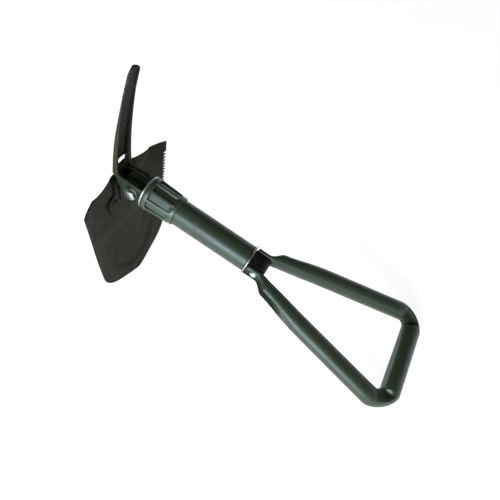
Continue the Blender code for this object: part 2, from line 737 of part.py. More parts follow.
def build_pick(axis):
    """Channel-section pick standing on two flat ears."""
    heights = [mix(PICK_FOOT, PICK_TOP - PICK_TIP_HALF, i / PICK_ROWS) for i in range(PICK_ROWS + 1)]
    heights += [PICK_TOP - PICK_TIP_HALF * (1.0 - s) for s in (0.35, 0.62, 0.82, 0.93, 0.97)]
    bm, rows = loft([pick_section(z) for z in heights])
    bm.faces.new(rows[0])
    bm.faces.new(rows[-1])
    pick = add_object("pick", bm, axis, PAINT)
    ears = bmesh.new()
    for side in (-1.0, 1.0):
        skin = SHEET / 40
        near, far = sorted((side * (PICK_IN + skin), side * (PICK_OUT - skin)))
        prism(ear_outline(), near, far, bm=ears)
    combine(pick, "UNION", add_object("pick_ears", ears, axis))
    combine(pick, "DIFFERENCE", add_object("pick_arch", arch_body(), axis))
    combine(pick, "DIFFERENCE", bolt_hole("pick_hole", axis))


def ear_outline():
    """Flat ear: square tail under the ring, straight top, slanted front down from the channel."""
    lip = PICK_BACK - PICK_LIP
    skin = SHEET / 10
    heel = PICK_FOOT + 0.8 * PICK_LIP
    corner = SHEET
    points = [(EAR_TAIL, -EAR_TOP), (EAR_TAIL, EAR_TOP), (-lip + 2.2 * corner, EAR_TOP)]
    points += [(-lip + corner, mix(EAR_TOP, EAR_HEEL, 0.4)), (-lip - skin, EAR_HEEL), (-lip - skin, heel)]
    points += [(-PICK_BACK + skin, heel), (-PICK_BACK + skin, PICK_FOOT - SHEET)]
    points += [(-PICK_BACK + 2 * SHEET, 0.0), (-0.68 * PICK_BACK, -SHEET), (-BRACKET_EAR, -EAR_TOP + SHEET)]
    points += [(-BRACKET_EAR + SHEET, -EAR_TOP)]
    return points


def arch_body():
    """Opening under the pick's back, rounded at the top, between the ears."""
    half = PICK_IN - GAP
    outline = [(-half, -EAR_TOP)]
    for i in range(9):
        angle = math.pi * (1.0 - i / 8)
        outline.append((half * math.cos(angle), PICK_WEB - PICK_ARCH * (1.0 - math.sin(angle))))
    outline.append((half, -EAR_TOP))
    lay = Matrix.Rotation(math.pi / 2, 4, "Z")
    return prism(outline, PICK_BACK / 2, 2 * PICK_BACK, lay)


# Grip


def build_grip_hinge(frame):
    """Tongue at the shaft's end, the hinge rivet and the washers beside the tongue."""
    half = GRIP_TONGUE_HEIGHT / 2
    start = PLATE_THICK / 2 + GAP
    round_r = half * 0.8
    outline = [(start, half), (start, -half)]
    outline += arc((GRIP_TONGUE_END - round_r, -half + round_r), round_r, -90, 0, 5)
    outline += arc((GRIP_TONGUE_END - round_r, half - round_r), round_r, 0, 90, 5)
    width = GRIP_TONGUE_WIDTH / 2
    tongue = add_object("grip_tongue", prism(outline, -width, width), frame, DARK_STEEL)
    back = TUBE_REAR - GRIP_STEM_LENGTH
    shoulder = TUBE_REAR
    neck = half - GAP
    plug = TUBE_BORE_R - GAP
    profile = [(back, 0.0), (back, plug), (shoulder, plug), (shoulder, neck),
               (start + half, neck), (start + half, 0.0)]
    stem = add_object("grip_stem", turned(profile, ROUND_STEPS), frame)
    combine(tongue, "UNION", stem)
    hinge = place_empty("hinge_frame", frame, (HINGE_REACH, 0.0, 0.0))
    drill = hinge_drill("tongue_drill", hinge)
    combine(tongue, "DIFFERENCE", drill)

    bore = HINGE_RIVET_DIA + 2 * GAP
    washer_pair(("hinge_washer_near", "hinge_washer_far"), hinge, LEG_WASHER_DIA, bore,
                LEG_WASHER_THICK, GRIP_TONGUE_WIDTH / 2 + GAP)

    shank = HINGE_RIVET_DIA / 2
    head = HINGE_HEAD_DIA / 2
    seat = LEG_IN + CHANNEL_FLOOR + GAP
    left = [(-x, r) for x, r in reversed(dome(head, HINGE_HEAD, seat))]
    right = dome(head, HINGE_HEAD, seat)
    profile = left + [(-seat, shank), (seat, shank)] + right
    add_object("hinge_rivet", turned(profile, SMALL_STEPS, along_y(0.0, 0.0, 0.0)), hinge, ZINC)


def hinge_drill(name, hinge):
    """A cutter across the grip on the hinge rivet."""
    radius = HINGE_RIVET_DIA / 2 + GAP
    profile = [(-LEG_OUT, 0.0), (-LEG_OUT, radius), (LEG_OUT, radius), (LEG_OUT, 0.0)]
    return add_object(name, turned(profile, SMALL_STEPS, along_y(0.0, 0.0, 0.0)), hinge)


def grip_section(place, across, half_n, half_z, boxy, groove, groove_half, end_x=None, squash=0.0):
    """Ring of the grip tube: a rounded section, pressed in or flattened on its outer side."""
    flat = 8.0 if boxy < 1.0 else 2.0
    points = []
    for i in range(SECTION_STEPS):
        angle = math.tau * (i + 0.5) / SECTION_STEPS
        c, s = math.cos(angle), math.sin(angle)
        n = half_n * math.copysign(abs(c) ** boxy, c)
        z = half_z * math.copysign(abs(s) ** boxy, s)
        if c > 0.0:
            n *= 1.0 - squash
        if c > 0.0 and abs(z) < groove_half:
            pressed = n - groove * math.sqrt(1.0 - abs(z / groove_half) ** flat)
            n = max(pressed, min(n, GRIP_WALL / 2 - n))
        point = place + across * n
        if end_x is not None:
            point.x = end_x(z)
        points.append((point.x, point.y, z))
    return points


def leg_end(z):
    """End of a leg beside the plate: round above the hinge, square below, where it stops."""
    if z > 0.0:
        return -math.sqrt(max(HINGE_CLEAR ** 2 - z * z, 0.0))
    return -HINGE_CLEAR


def leg_stations():
    """Rings of one leg, from its end to the corner bend: x, middle, half sizes, shape, groove."""
    start = -HINGE_CLEAR
    swell = CHANNEL_END - HINGE_REACH
    straight = LEG_START - HINGE_REACH
    corner = GRIP_REACH - HINGE_REACH
    slope = (GRIP_HALF - LEG_START_HALF) / (corner - straight)
    lean = math.atan(slope)
    stretch = 1.0 / math.cos(lean)
    turn = math.pi / 2 + lean
    bend_start = corner - GRIP_BEND * math.tan(turn / 2) * math.cos(lean)
    marks = [start, start / 2, 0.0, swell]
    marks += [mix(swell, straight, i / 6) for i in range(1, 7)]
    groove_end = GROOVE_END - HINGE_REACH
    marks += [mix(straight, groove_end, i / 4) for i in range(1, 5)]
    marks += [mix(groove_end, bend_start, i / 2) for i in range(1, 3)]
    stations = []
    radius = GRIP_DIA / 2
    swell_end = SWELL_END - HINGE_REACH
    for x in marks:
        share = smooth_step((x - swell) / (straight - swell))
        late = smooth_step((x - straight) / (swell_end - straight))
        size = SWELL_FIRST * share + (1.0 - SWELL_FIRST) * late
        half_n = mix(CHANNEL_DEPTH / 2, radius * stretch, size)
        half_z = mix(CHANNEL_HEIGHT / 2, radius, size)
        line = LEG_START_HALF + slope * (x - straight) - radius * stretch
        middle = mix(LEG_IN, line, share) + half_n
        press = 1.0 - smooth_step((x - straight) / (groove_end - straight))
        groove = mix(CHANNEL_DEPTH - CHANNEL_FLOOR, radius * 0.62, share) * press
        groove_half = mix(0.78 * CHANNEL_HEIGHT / 2, 0.46 * radius, late)
        blend = min(1.0, max(0.0, (x - groove_end) / (bend_start - groove_end)))
        boxy = mix(0.55, 1.0, max(late, 0.5 * share))
        stations.append((x, middle, half_n, half_z, boxy, groove, groove_half, lean * blend))
    return stations, lean, bend_start


def grip_rings(wall):
    """All rings of the bent tube; a wall makes the bore."""
    stations, lean, bend_start = leg_stations()
    rings = []
    for index, (x, middle, half_n, half_z, boxy, groove, groove_half, turn) in enumerate(stations):
        across = Vector((-math.sin(turn), math.cos(turn), 0.0))
        half_n = half_n * (math.cos(lean) / math.cos(lean - turn) if turn else 1.0)
        rings.append(grip_section(Vector((x, middle, 0.0)), across, half_n - wall, half_z - wall, boxy,
                                  groove, groove_half + wall, leg_end if index == 0 else None))
    radius = GRIP_DIA / 2 - wall
    slope_y = stations[-1][1]
    across = Vector((-math.sin(lean), math.cos(lean), 0.0))
    centre = Vector((bend_start, slope_y, 0.0)) - across * GRIP_BEND
    total = math.pi / 2 + lean
    for i in range(1, 9):
        angle = lean - total * i / 8
        across = Vector((-math.sin(angle), math.cos(angle), 0.0))
        squash = GRIP_SQUASH * math.sin(math.pi * i / 8)
        rings.append(grip_section(centre + across * GRIP_BEND, across, radius, radius, 1.0, 0.0, 1.0,
                                  squash=squash))
    mirrored = []
    for ring in reversed(rings):
        flipped = [(x, -y, z) for x, y, z in ring]
        mirrored.append(flipped)
    return rings + mirrored


def build_grip(axis):
    """The triangular grip: one tube, open at its pressed ends."""
    bm, outer = loft(grip_rings(0.0))
    bm, inner = loft(grip_rings(GRIP_WALL), bm)
    for end in (0, -1):
        for i in range(SECTION_STEPS):
            j = (i + 1) % SECTION_STEPS
            bm.faces.new((outer[end][i], outer[end][j], inner[end][j], inner[end][i]))
    grip = add_object("grip_tube", bm, axis, PAINT)
    combine(grip, "DIFFERENCE", hinge_drill("grip_drill", axis))


# Stance


def ground_points(piece, stance):
    """Corners of a finished piece in the shaft's frame."""
    bpy.context.view_layer.update()
    depsgraph = bpy.context.evaluated_depsgraph_get()
    ready = piece.evaluated_get(depsgraph)
    mesh = ready.to_mesh()
    to_frame = stance.matrix_world.inverted() @ ready.matrix_world
    points = [to_frame @ v.co for v in mesh.vertices]
    ready.to_mesh_clear()
    return points


def stand_on_ground(stance):
    """Tip the shovel about Y until blade and grip both touch Z = 0, with the box centred on the origin."""
    solids = [o for o in bpy.data.objects if o.type == "MESH" and not o.hide_render]
    points = {o.name: ground_points(o, stance) for o in solids}

    def lowest(name, turn):
        return min(p.z * math.cos(turn) - p.x * math.sin(turn) for p in points[name])

    low, high = 0.0, math.pi / 3
    for _ in range(60):
        turn = (low + high) / 2
        if lowest("grip_tube", turn) > lowest("shovel_blade", turn):
            low = turn
        else:
            high = turn
    matrix = Matrix.Rotation(turn, 3, "Y")
    everything = [matrix @ p for group in points.values() for p in group]
    middle = [(min(p[i] for p in everything) + max(p[i] for p in everything)) / 2 for i in range(2)]
    stance.rotation_euler = (0.0, turn, 0.0)
    stance.location = (-middle[0], -middle[1], -min(p.z for p in everything))


def main():
    """Build every piece, then stand the shovel on the ground."""
    clear_scene()
    stance = place_empty("shovel_stance")
    head = build_shaft(stance)
    build_pivot(head)
    build_collar(head)
    blade_axis = place_empty("blade_axis", head, turn=math.radians(BLADE_ANGLE))
    blade = build_blade(blade_axis)
    build_bracket(blade_axis, blade)
    build_pick(place_empty("pick_axis", head))
    build_grip_hinge(stance)
    build_grip(place_empty("grip_axis", stance, (HINGE_REACH, 0.0, 0.0)))
    stand_on_ground(stance)


main()
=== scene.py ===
"""Folding camp shovel with a pick: the finished pieces, each riding on its solid body.

Lengths are metres. Pieces are laid out in the shaft's own frame: the origin is the middle of the
end plate, +X runs along the shaft to the grip, +Y along the pivot bolt and +Z to the pick's side.
"""

import json
import math

import bmesh
import bpy
from bpy.props import FloatProperty, FloatVectorProperty, IntProperty, PointerProperty
from bpy.types import Operator, Panel, PropertyGroup
from mathutils import Matrix, Vector


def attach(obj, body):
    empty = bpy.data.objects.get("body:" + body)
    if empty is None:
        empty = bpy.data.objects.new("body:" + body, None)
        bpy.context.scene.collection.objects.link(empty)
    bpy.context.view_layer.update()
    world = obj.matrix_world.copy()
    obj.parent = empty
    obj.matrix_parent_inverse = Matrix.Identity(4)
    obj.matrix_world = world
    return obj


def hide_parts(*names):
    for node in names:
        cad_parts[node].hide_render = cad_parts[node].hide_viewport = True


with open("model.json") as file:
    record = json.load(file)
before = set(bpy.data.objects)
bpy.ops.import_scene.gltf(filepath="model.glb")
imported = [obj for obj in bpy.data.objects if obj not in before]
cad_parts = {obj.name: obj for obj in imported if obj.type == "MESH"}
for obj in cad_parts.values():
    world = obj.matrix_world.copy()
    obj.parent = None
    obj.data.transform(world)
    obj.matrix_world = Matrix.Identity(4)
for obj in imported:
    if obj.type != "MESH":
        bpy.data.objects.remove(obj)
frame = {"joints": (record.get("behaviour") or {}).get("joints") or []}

bl_info = {
    "name": "Folding camp shovel",
    "version": (1, 0, 0),
    "blender": (4, 5, 0),
    "location": "3D View > Sidebar > Shovel",
    "description": "Builds a folding camp shovel with a pick, a lock collar and a triangular grip",
    "category": "Object",
}

GAP = 0.0003               # between faces that touch on the real shovel
RUN_GAP = 0.0005           # beside a piece that swings past
LAP = 0.001                # how far the bolt's neck runs into its head

# Places fixed by the joints of the frame
BOLT_REACH = 0.1533        # end plate to pivot bolt
HINGE_REACH = 0.0126       # end plate to hinge rivet
BLADE_ANGLE = 82.0         # degrees between the shaft and the blade

# Widths across the pivot, from the tongue outward
TONGUE_HALF = 0.007
BRACKET_IN = TONGUE_HALF + GAP
BRACKET_OUT = BRACKET_IN + 0.0018
SHIM_THICK = 0.0007
PICK_IN = BRACKET_OUT + GAP + SHIM_THICK + GAP
PICK_OUT = PICK_IN + 0.002
WASHER_THICK = 0.0014
HEAD_SEAT = PICK_OUT + GAP + WASHER_THICK + GAP
NOTCH_HALF = PICK_OUT + RUN_GAP

# Blade outline, along it (u) from the bolt and across it (y)
BLADE_OFFSET = 0.0230      # bolt axis to the hollow face
TOP_NECK = -0.0135
TOP_KNEE = -0.0062
KNEE_HALF = 0.050
TOP_SHOULDER = -0.0035
SHOULDER_HALF = 0.0732
CORNER_REACH = 0.176
CORNER_HALF = 0.068
CORNER_DROP = 0.023
CORNER_SHARE = 0.6
TIP_REACH = 0.2115
TIP_POWER = 1.25
FLAT_HALF = 0.033
TIP_CURL_START = 0.060
CREASE_REACH = 0.014
CREASE_WIDTH = 0.0013
FLAP_RAMP = 0.006
NOTCH_REACH = 0.0312
PAN_START = 0.060
PAN_FADE = 0.036
PAN_HALF = 0.056
PAN_BULGE = 0.095
PAN_END = 0.194

# Bracket
BRACKET_FACE = BLADE_OFFSET - GAP - 0.0018
BRACKET_HALF = 0.0315
BRACKET_WIDEST = 0.027
BRACKET_TOP = 0.0112
BRACKET_FOOT = 0.063
BRACKET_EAR = 0.0127
BRACKET_TAB = 0.0250
SHOULDER_TOP = -0.0080
SHOULDER_SIDE = 0.0160
RIVET_REACH = 0.0277
RIVET_HALF = 0.0211

# Pick, along it (z) from the bolt
PICK_FOOT = 0.012
PICK_TOP = 0.1565
PICK_BACK = 0.0285
PICK_TIP_BACK = 0.0162
PICK_LEAN_START = 0.030
PICK_ROOT_HALF = 0.0126
PICK_TIP_HALF = 0.0078
PICK_LIP = 0.0079
PICK_TIP_LIP = 0.0031
PICK_ROUND = 0.0026
PICK_WEB = 0.0275
EAR_TOP = 0.0123
EAR_TAIL = 0.0132
EAR_HEEL = 0.0157
EAR_CUT = 0.002            # small cuts at an ear's corners
EAR_LAP = 0.0002           # how far an ear runs into the channel
EAR_SLANT = 0.68           # share of the pick's back where an ear's front turns under
TIP_MARKS = (0.15, 0.3, 0.45, 0.58, 0.7, 0.8, 0.88, 0.94, 0.98)  # rings in the tip, as shares of it

# Thrust ring and collar
RING_BORE = 0.0182
RING_THICK = 0.0018
RING_SKIRT = 0.0189        # outer radius of the ring's rear part
RING_END = 0.0044
RIB_TURN = math.radians(6.0)  # how far the collar's ribs stand round from the solid's

# Grip, along it (x) from the hinge rivet
HINGE_CLEAR = 0.0117
GRIP_CORNER = 0.2083 - HINGE_REACH
GRIP_HALF = 0.0627
GRIP_BEND = 0.0165
LEG_STRAIGHT = 0.0325 - HINGE_REACH
LEG_START_HALF = 0.0230
LEG_IN = 0.0088 + GAP + 0.0008 + GAP
CHANNEL_END = 0.0168 - HINGE_REACH
SWELL_END = 0.086 - HINGE_REACH
GROOVE_END = 0.080 - HINGE_REACH
END_BOXY = 0.72
BEND_FLAT = 0.38
BEND_SPREAD = 0.14
BEND_DENT = 0.42

# Reach of the painted shade that darkens corners and channels
PAINTED_SHADE_REACH = 0.012

# Camera in the shaft's frame, and its lens on a 36 mm sensor
CAMERA_PLACE = (-0.005119, -0.231605, 0.397886)
CAMERA_RIGHT = (0.83079282, 0.47612263, 0.28825426)
CAMERA_UP = (-0.55657971, 0.70927829, 0.43260066)
CAMERA_LENS = 28.8


def length(name, words, default):
    """A length a user can change, in metres."""
    return FloatProperty(name=name, description=words, default=default, min=0.0, unit="LENGTH", precision=4)


def colour(name, words, default):
    """A paint or metal colour a user can change."""
    return FloatVectorProperty(name=name, description=words, default=default, min=0.0, max=1.0, size=3,
                               subtype="COLOR")


def share(name, words, default):
    """A share from 0 to 1 a user can change."""
    return FloatProperty(name=name, description=words, default=default, min=0.0, max=1.0, subtype="FACTOR")


class ShovelSizes(PropertyGroup):
    """Sizes of the shovel's pieces."""

    blade_sheet: length("Blade sheet", "Thickness of the blade", 0.0016)
    shoulder_curl: length("Shoulder curl", "How far the blade's shoulders curl up", 0.0095)
    corner_curl: length("Corner curl", "How far the blade's lower sides curl up", 0.0035)
    tip_curl: length("Tip curl", "How far the blade's tip curls up", 0.0075)
    neck_lean: length("Neck lean", "How far the blade's neck is bent forward", 0.0026)
    crease_step: length("Crease step", "Step along the crease beside the neck", 0.0010)
    pan_depth: length("Pan depth", "Depth of the sunk pan in the blade", 0.0022)
    pan_ramp: length("Pan ramp", "Width of the slope round the pan", 0.008)
    tooth_count: IntProperty(name="Teeth", description="Saw teeth on the blade's edge", default=19, min=1)
    tooth_pitch: length("Tooth pitch", "Distance from tooth to tooth", 0.0056)
    tooth_width: length("Tooth gullet", "Width of the gap between teeth", 0.0048)
    tooth_depth: length("Tooth depth", "Depth of the gap between teeth", 0.0029)
    rivet_head: length("Rivet head", "Width of the bracket rivets' heads", 0.0086)
    pick_sheet: length("Pick sheet", "Thickness of the pick", 0.002)
    tube_width: length("Shaft tube", "Outside width of the shaft tube", 0.032)
    plate_width: length("End plate", "Outside width of the end plate", 0.038)
    ring_width: length("Thrust ring", "Outside width of the bright ring", 0.0400)
    band_width: length("Collar band", "Outside width of the collar's front band", 0.0406)
    rib_count: IntProperty(name="Collar ribs", description="Ribs round the collar", default=10, min=1)
    rib_width: length("Rib width", "Width of a collar rib", 0.0030)
    bolt_width: length("Bolt", "Outside width of the pivot bolt", 0.008)
    hex_flats: length("Hexagon", "Bolt head and nut across their flats", 0.013)
    thread_pitch: length("Barrel thread", "Pitch of the thread under the collar", 0.003)
    grip_width: length("Grip tube", "Outside width of the grip's tube", 0.0220)
    grip_wall: length("Grip wall", "Wall of the grip's tube", 0.0011)
    edge: length("Eased edge", "Rounding of pressed and cut edges", 0.00035)


class ShovelFinish(PropertyGroup):
    """Colours and finish of the shovel's pieces."""

    paint: colour("Paint", "Olive enamel on the shaft, grip, collar and pick", (0.054, 0.074, 0.039))
    blade_paint: colour("Blade paint", "Enamel on the blade and its bracket", (0.034, 0.035, 0.021))
    pick_paint: colour("Pick paint", "Enamel on the pick", (0.064, 0.069, 0.028))
    # Painted shade: a near-black coat inside the pick's channel, standing in for the shade that falls there.
    painted_channel_shade: colour("Primer", "Thin dark primer inside the pick's channel", (0.020, 0.020, 0.018))
    # Painted highlight colour: a cool tint laid on the enamel's reflections, standing in for the lamp's cool light.
    gloss_and_painted_highlight_tint: colour("Sheen", "Tint of the enamel's gloss", (0.80, 0.93, 1.0))
    bare: colour("Bare steel", "Steel that shows where paint is worn", (0.30, 0.30, 0.28))
    zinc: colour("Zinc", "Plating of bolt, ring, plate and washers", (0.60, 0.63, 0.64))
    dark: colour("Dark steel", "Blackened steel of tongues and pins", (0.020, 0.021, 0.018))
    gloss: share("Roughness", "Roughness of the enamel", 0.40)
    wear: share("Wear", "How much of the edges is worn bare", 0.25)
    floor: colour("Floor", "Pale floor under the shovel", (0.88, 0.88, 0.88))


# Small shapes


def smooth_step(value):
    """0 below 0, 1 above 1, smooth between."""
    value = min(1.0, max(0.0, value))
    return value * value * (3.0 - 2.0 * value)


def mix(start, end, part):
    """Straight blend of two numbers."""
    return start + (end - start) * part


def arc(centre, radius, first, last, count):
    """Points on an arc, angles in degrees."""
    points = []
    for i in range(count + 1):
        angle = math.radians(mix(first, last, i / count))
        points.append((centre[0] + radius * math.cos(angle), centre[1] + radius * math.sin(angle)))
    return points


def eased(outline, ease, count=3):
    """A closed outline with its corners rounded, except those on the axis."""
    points = []
    total = len(outline)
    for i, corner in enumerate(outline):
        here = Vector(corner)
        back = Vector(outline[i - 1]) - here
        ahead = Vector(outline[(i + 1) % total]) - here
        reach = min(ease, 0.45 * back.length, 0.45 * ahead.length)
        if corner[1] < 1e-7 or reach < 1e-7:
            points.append(corner)
            continue
        start = here + back.normalized() * reach
        end = here + ahead.normalized() * reach
        for k in range(count + 1):
            t = k / count
            points.append(tuple(start * (1 - t) ** 2 + here * 2 * t * (1 - t) + end * t ** 2))
    return points


def skin(bm, first, second):
    """Faces between two rings; a ring of one point is a tip."""
    count = max(len(first), len(second))
    if count == 1:
        return
    for i in range(count):
        j = (i + 1) % count
        corners = [first[i % len(first)], first[j % len(first)]]
        corners += [second[j % len(second)], second[i % len(second)]]
        bm.faces.new(list(dict.fromkeys(corners)))


def lathe(outline, steps, matrix=Matrix(), bm=None):
    """Spin a closed (x, radius) outline about X."""
    bm = bm or bmesh.new()
    rings = []
    for x, radius in outline:
        turns = [math.tau * k / steps for k in range(steps)] if radius > 1e-7 else [0.0]
        points = [(x, radius * math.sin(a), radius * math.cos(a)) for a in turns]
        rings.append([bm.verts.new(matrix @ Vector(point)) for point in points])
    for i, ring in enumerate(rings):
        skin(bm, ring, rings[(i + 1) % len(rings)])
    return bm


def loft(rings, closed=False, bm=None):
    """Skin rings of points; a closed loft joins the last ring to the first."""
    bm = bm or bmesh.new()
    rows = [[bm.verts.new(point) for point in ring] for ring in rings]
    for lower, upper in zip(rows, rows[1:]):
        skin(bm, lower, upper)
    if closed:
        skin(bm, rows[-1], rows[0])
    return bm, rows


def slab(outline, near, far, matrix=Matrix(), bm=None):
    """A flat (x, z) outline pulled along Y."""
    bm = bm or bmesh.new()
    face = bm.faces.new([bm.verts.new((x, near, z)) for x, z in outline])
    pulled = bmesh.ops.extrude_face_region(bm, geom=[face])
    tops = [item for item in pulled["geom"] if isinstance(item, bmesh.types.BMVert)]
    bmesh.ops.translate(bm, vec=(0.0, far - near, 0.0), verts=tops)
    bmesh.ops.transform(bm, matrix=matrix, verts=list(face.verts) + tops)
    return bm


def along_y(y=0.0):
    """Matrix that lays a lathe's axis along +Y."""
    return Matrix.Translation((0.0, y, 0.0)) @ Matrix.Rotation(math.pi / 2, 4, "Z")


def rod(radius, span, matrix, steps=32, bm=None):
    """A plain cutter for a round hole."""
    return lathe([(-span, 0.0), (-span, radius), (span, radius), (span, 0.0)], steps, matrix, bm)


def dome(radius, height, base, count=10):
    """Outline of a round head that stands on the axis, from its rim to its crown."""
    points = []
    for i in range(count + 1):
        angle = math.pi / 2 * i / count
        points.append((base + height * math.sin(angle), radius * math.cos(angle)))
    points[-1] = (base + height, 0.0)
    return points


# Pieces


def raw_piece(name, bm):
    """An object from a bmesh, with its faces turned outward."""
    bmesh.ops.remove_doubles(bm, verts=bm.verts, dist=1e-7)
    bmesh.ops.recalc_face_normals(bm, faces=bm.faces)
    mesh = bpy.data.meshes.new(name)
    bm.to_mesh(mesh)
    bm.free()
    piece = bpy.data.objects.new(name, mesh)
    bpy.context.scene.collection.objects.link(piece)
    return piece


def settle(piece):
    """Turn a piece's modifiers into plain mesh."""
    bpy.context.view_layer.update()
    ready = piece.evaluated_get(bpy.context.evaluated_depsgraph_get())
    mesh = bpy.data.meshes.new_from_object(ready)
    old = piece.data
    piece.modifiers.clear()
    piece.data = mesh
    bpy.data.meshes.remove(old)


def carve(piece, operation, bm):
    """Cut a shape from a piece, or join it on."""
    tool = raw_piece(piece.name + "_tool", bm)
    step = piece.modifiers.new("carve", "BOOLEAN")
    step.operation = operation
    step.solver = "EXACT"
    step.object = tool
    settle(piece)
    mesh = tool.data
    bpy.data.objects.remove(tool, do_unlink=True)
    bpy.data.meshes.remove(mesh)


def finish_piece(piece, place, body, material, nodes, edge=0.0):
    """Put a piece in place, paint it and let it ride on its body."""
    mesh = piece.data
    mesh.materials.clear()
    mesh.materials.append(material)
    mesh.shade_smooth()
    if edge > 0.0:
        bevel = piece.modifiers.new("eased_edges", "BEVEL")
        bevel.width = edge
        bevel.segments = 2
        bevel.limit_method = "ANGLE"
        bevel.angle_limit = math.radians(38.0)
        normals = piece.modifiers.new("flat_faces", "WEIGHTED_NORMAL")
        normals.weight = 80
    else:
        mesh.set_sharp_from_angle(angle=math.radians(42.0))
    piece.matrix_world = place
    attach(piece, body)
    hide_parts(*nodes)
    return piece


def frames():
    """Places of the shaft, head, blade and grip, worked out from the frame's joints."""
    joints = {joint["name"]: joint for joint in frame["joints"]}
    bolt = Vector(joints["blade_hinge"]["pos_m"])
    hinge = Vector(joints["grip_hinge"]["pos_m"])
    along = (hinge - bolt).normalized()
    across = Vector((0.0, 1.0, 0.0))
    turn = Matrix((along, across, along.cross(across))).transposed().to_4x4()
    head = Matrix.Translation(bolt) @ turn
    return {
        "shaft": Matrix.Translation(hinge - along * HINGE_REACH) @ turn,
        "head": head,
        "blade": head @ Matrix.Rotation(math.radians(BLADE_ANGLE), 4, "Y"),
        "grip": Matrix.Translation(hinge) @ turn,
    }


# Materials


class Finish:
    """A node material under construction, with short ways to add its nodes."""

    def __init__(self, name):
        self.material = bpy.data.materials.new(name)
        self.material.use_nodes = True
        self.tree = self.material.node_tree
        self.shader = self.tree.nodes["Principled BSDF"]
        self.place = self.add("ShaderNodeTexCoord").outputs["Object"]

    def add(self, kind, **settings):
        node = self.tree.nodes.new(kind)
        for key, value in settings.items():
            setattr(node, key, value)
        return node

    def feed(self, socket, value):
        """Join a socket to another, or set its constant."""
        if isinstance(value, bpy.types.NodeSocket):
            self.tree.links.new(value, socket)
        else:
            socket.default_value = value

    def noise(self, scale, detail=3.0, stretch=None, roughness=0.55):
        """Cloudy noise in metres, stretched along the axes if asked."""
        place = self.place
        if stretch:
            mapping = self.add("ShaderNodeMapping")
            self.feed(mapping.inputs["Vector"], place)
            mapping.inputs["Scale"].default_value = stretch
            place = mapping.outputs["Vector"]
        node = self.add("ShaderNodeTexNoise")
        self.feed(node.inputs["Vector"], place)
        node.inputs["Scale"].default_value = scale
        node.inputs["Detail"].default_value = detail
        node.inputs["Roughness"].default_value = roughness
        return node.outputs["Fac"]

    def span(self, value, low, high, start=0.0, end=1.0):
        """Map low..high to start..end, held at both ends."""
        node = self.add("ShaderNodeMapRange", clamp=True)
        self.feed(node.inputs["Value"], value)
        node.inputs["From Min"].default_value = low
        node.inputs["From Max"].default_value = high
        node.inputs["To Min"].default_value = start
        node.inputs["To Max"].default_value = end
        return node.outputs["Result"]

    def times(self, first, second):
        node = self.add("ShaderNodeMath", operation="MULTIPLY")
        self.feed(node.inputs[0], first)
        self.feed(node.inputs[1], second)
        return node.outputs["Value"]

    def blend(self, factor, first, second):
        """Blend two colours by a factor."""
        node = self.add("ShaderNodeMix", data_type="RGBA")
        self.feed(node.inputs["Factor"], factor)
        for socket, value in ((node.inputs["A"], first), (node.inputs["B"], second)):
            self.feed(socket, value)
        return node.outputs["Result"]

    def edges(self, radius):
        """1 on convex and concave edges, 0 on open faces."""
        round_normal = self.add("ShaderNodeBevel", samples=6)
        round_normal.inputs["Radius"].default_value = radius
        geometry = self.add("ShaderNodeNewGeometry")
        dot = self.add("ShaderNodeVectorMath", operation="DOT_PRODUCT")
        self.feed(dot.inputs[0], round_normal.outputs["Normal"])
        self.feed(dot.inputs[1], geometry.outputs["Normal"])
        return self.span(dot.outputs["Value"], 0.985, 0.80)

    def shade_in_hollows(self, reach):
        """1 deep in a corner or a channel, 0 on open faces: the mask of the painted shade."""
        shelter = self.add("ShaderNodeAmbientOcclusion", samples=6)
        shelter.inputs["Distance"].default_value = reach
        return self.span(shelter.outputs["AO"], 0.86, 0.42)

    def bump(self, height, strength, distance):
        node = self.add("ShaderNodeBump")
        node.inputs["Strength"].default_value = strength
        node.inputs["Distance"].default_value = distance
        self.feed(node.inputs["Height"], height)
        self.feed(self.shader.inputs["Normal"], node.outputs["Normal"])


def shade(base, factor):
    """A colour made lighter or darker, with its alpha."""
    return (*[min(1.0, c * factor) for c in base], 1.0)


def enamel(name, base, finish, gloss, specular, wear, shadow=0.20):
    """Baked olive enamel: mottled, slightly pebbled, scuffed, worn bare on edges, with painted shade and weaker
    reflections in its hollows and a painted cool tint on its highlights.
    """
    make = Finish(name)
    cloud = make.span(make.noise(26.0, 4.0), 0.32, 0.68)
    body = make.blend(cloud, shade(base, 0.86), shade(base, 1.14))
    dust = make.span(make.noise(120.0, 6.0, roughness=0.7), 0.56, 0.74, 0.0, 0.30)
    body = make.blend(dust, body, shade((0.075, 0.078, 0.060), 1.0))
    scuff = make.span(make.noise(30.0, 3.0, (1.0, 9.0, 9.0)), 0.66, 0.70, 0.0, 0.22)
    body = make.blend(scuff, body, shade((0.10, 0.10, 0.085), 1.0))
    # Painted shade: deep in corners and channels the enamel is darkened to shadow times its colour, as shade falls
    # there.
    painted_shade = make.shade_in_hollows(PAINTED_SHADE_REACH)
    body = make.blend(painted_shade, body, shade(base, shadow))
    patch = make.span(make.noise(150.0, 4.0), 0.60 - 0.25 * wear, 0.66 - 0.2 * wear)
    worn = make.times(make.edges(0.0007), patch)
    make.feed(make.shader.inputs["Base Color"], make.blend(worn, body, shade(finish.bare, 1.0)))
    make.feed(make.shader.inputs["Metallic"], make.span(worn, 0.0, 1.0, 0.0, 0.85))
    # Roughness that varies at random over the enamel.
    gloss_and_painted_highlight_tint = make.span(make.noise(70.0, 4.0), 0.3, 0.7, gloss - 0.06, gloss + 0.08)
    make.feed(make.shader.inputs["Roughness"], gloss_and_painted_highlight_tint)
    # Painted shade on the reflections: the specular level drops in the same corners and channels.
    make.feed(make.shader.inputs["Specular IOR Level"], make.span(painted_shade, 0.0, 1.0, specular, 0.02))
    # Painted highlight colour: the reflections are tinted cool, standing in for the lamp's colour.
    make.shader.inputs["Specular Tint"].default_value = shade(finish.gloss_and_painted_highlight_tint, 1.0)
    make.bump(make.noise(620.0, 2.0), 0.16, 0.00025)
    return make.material


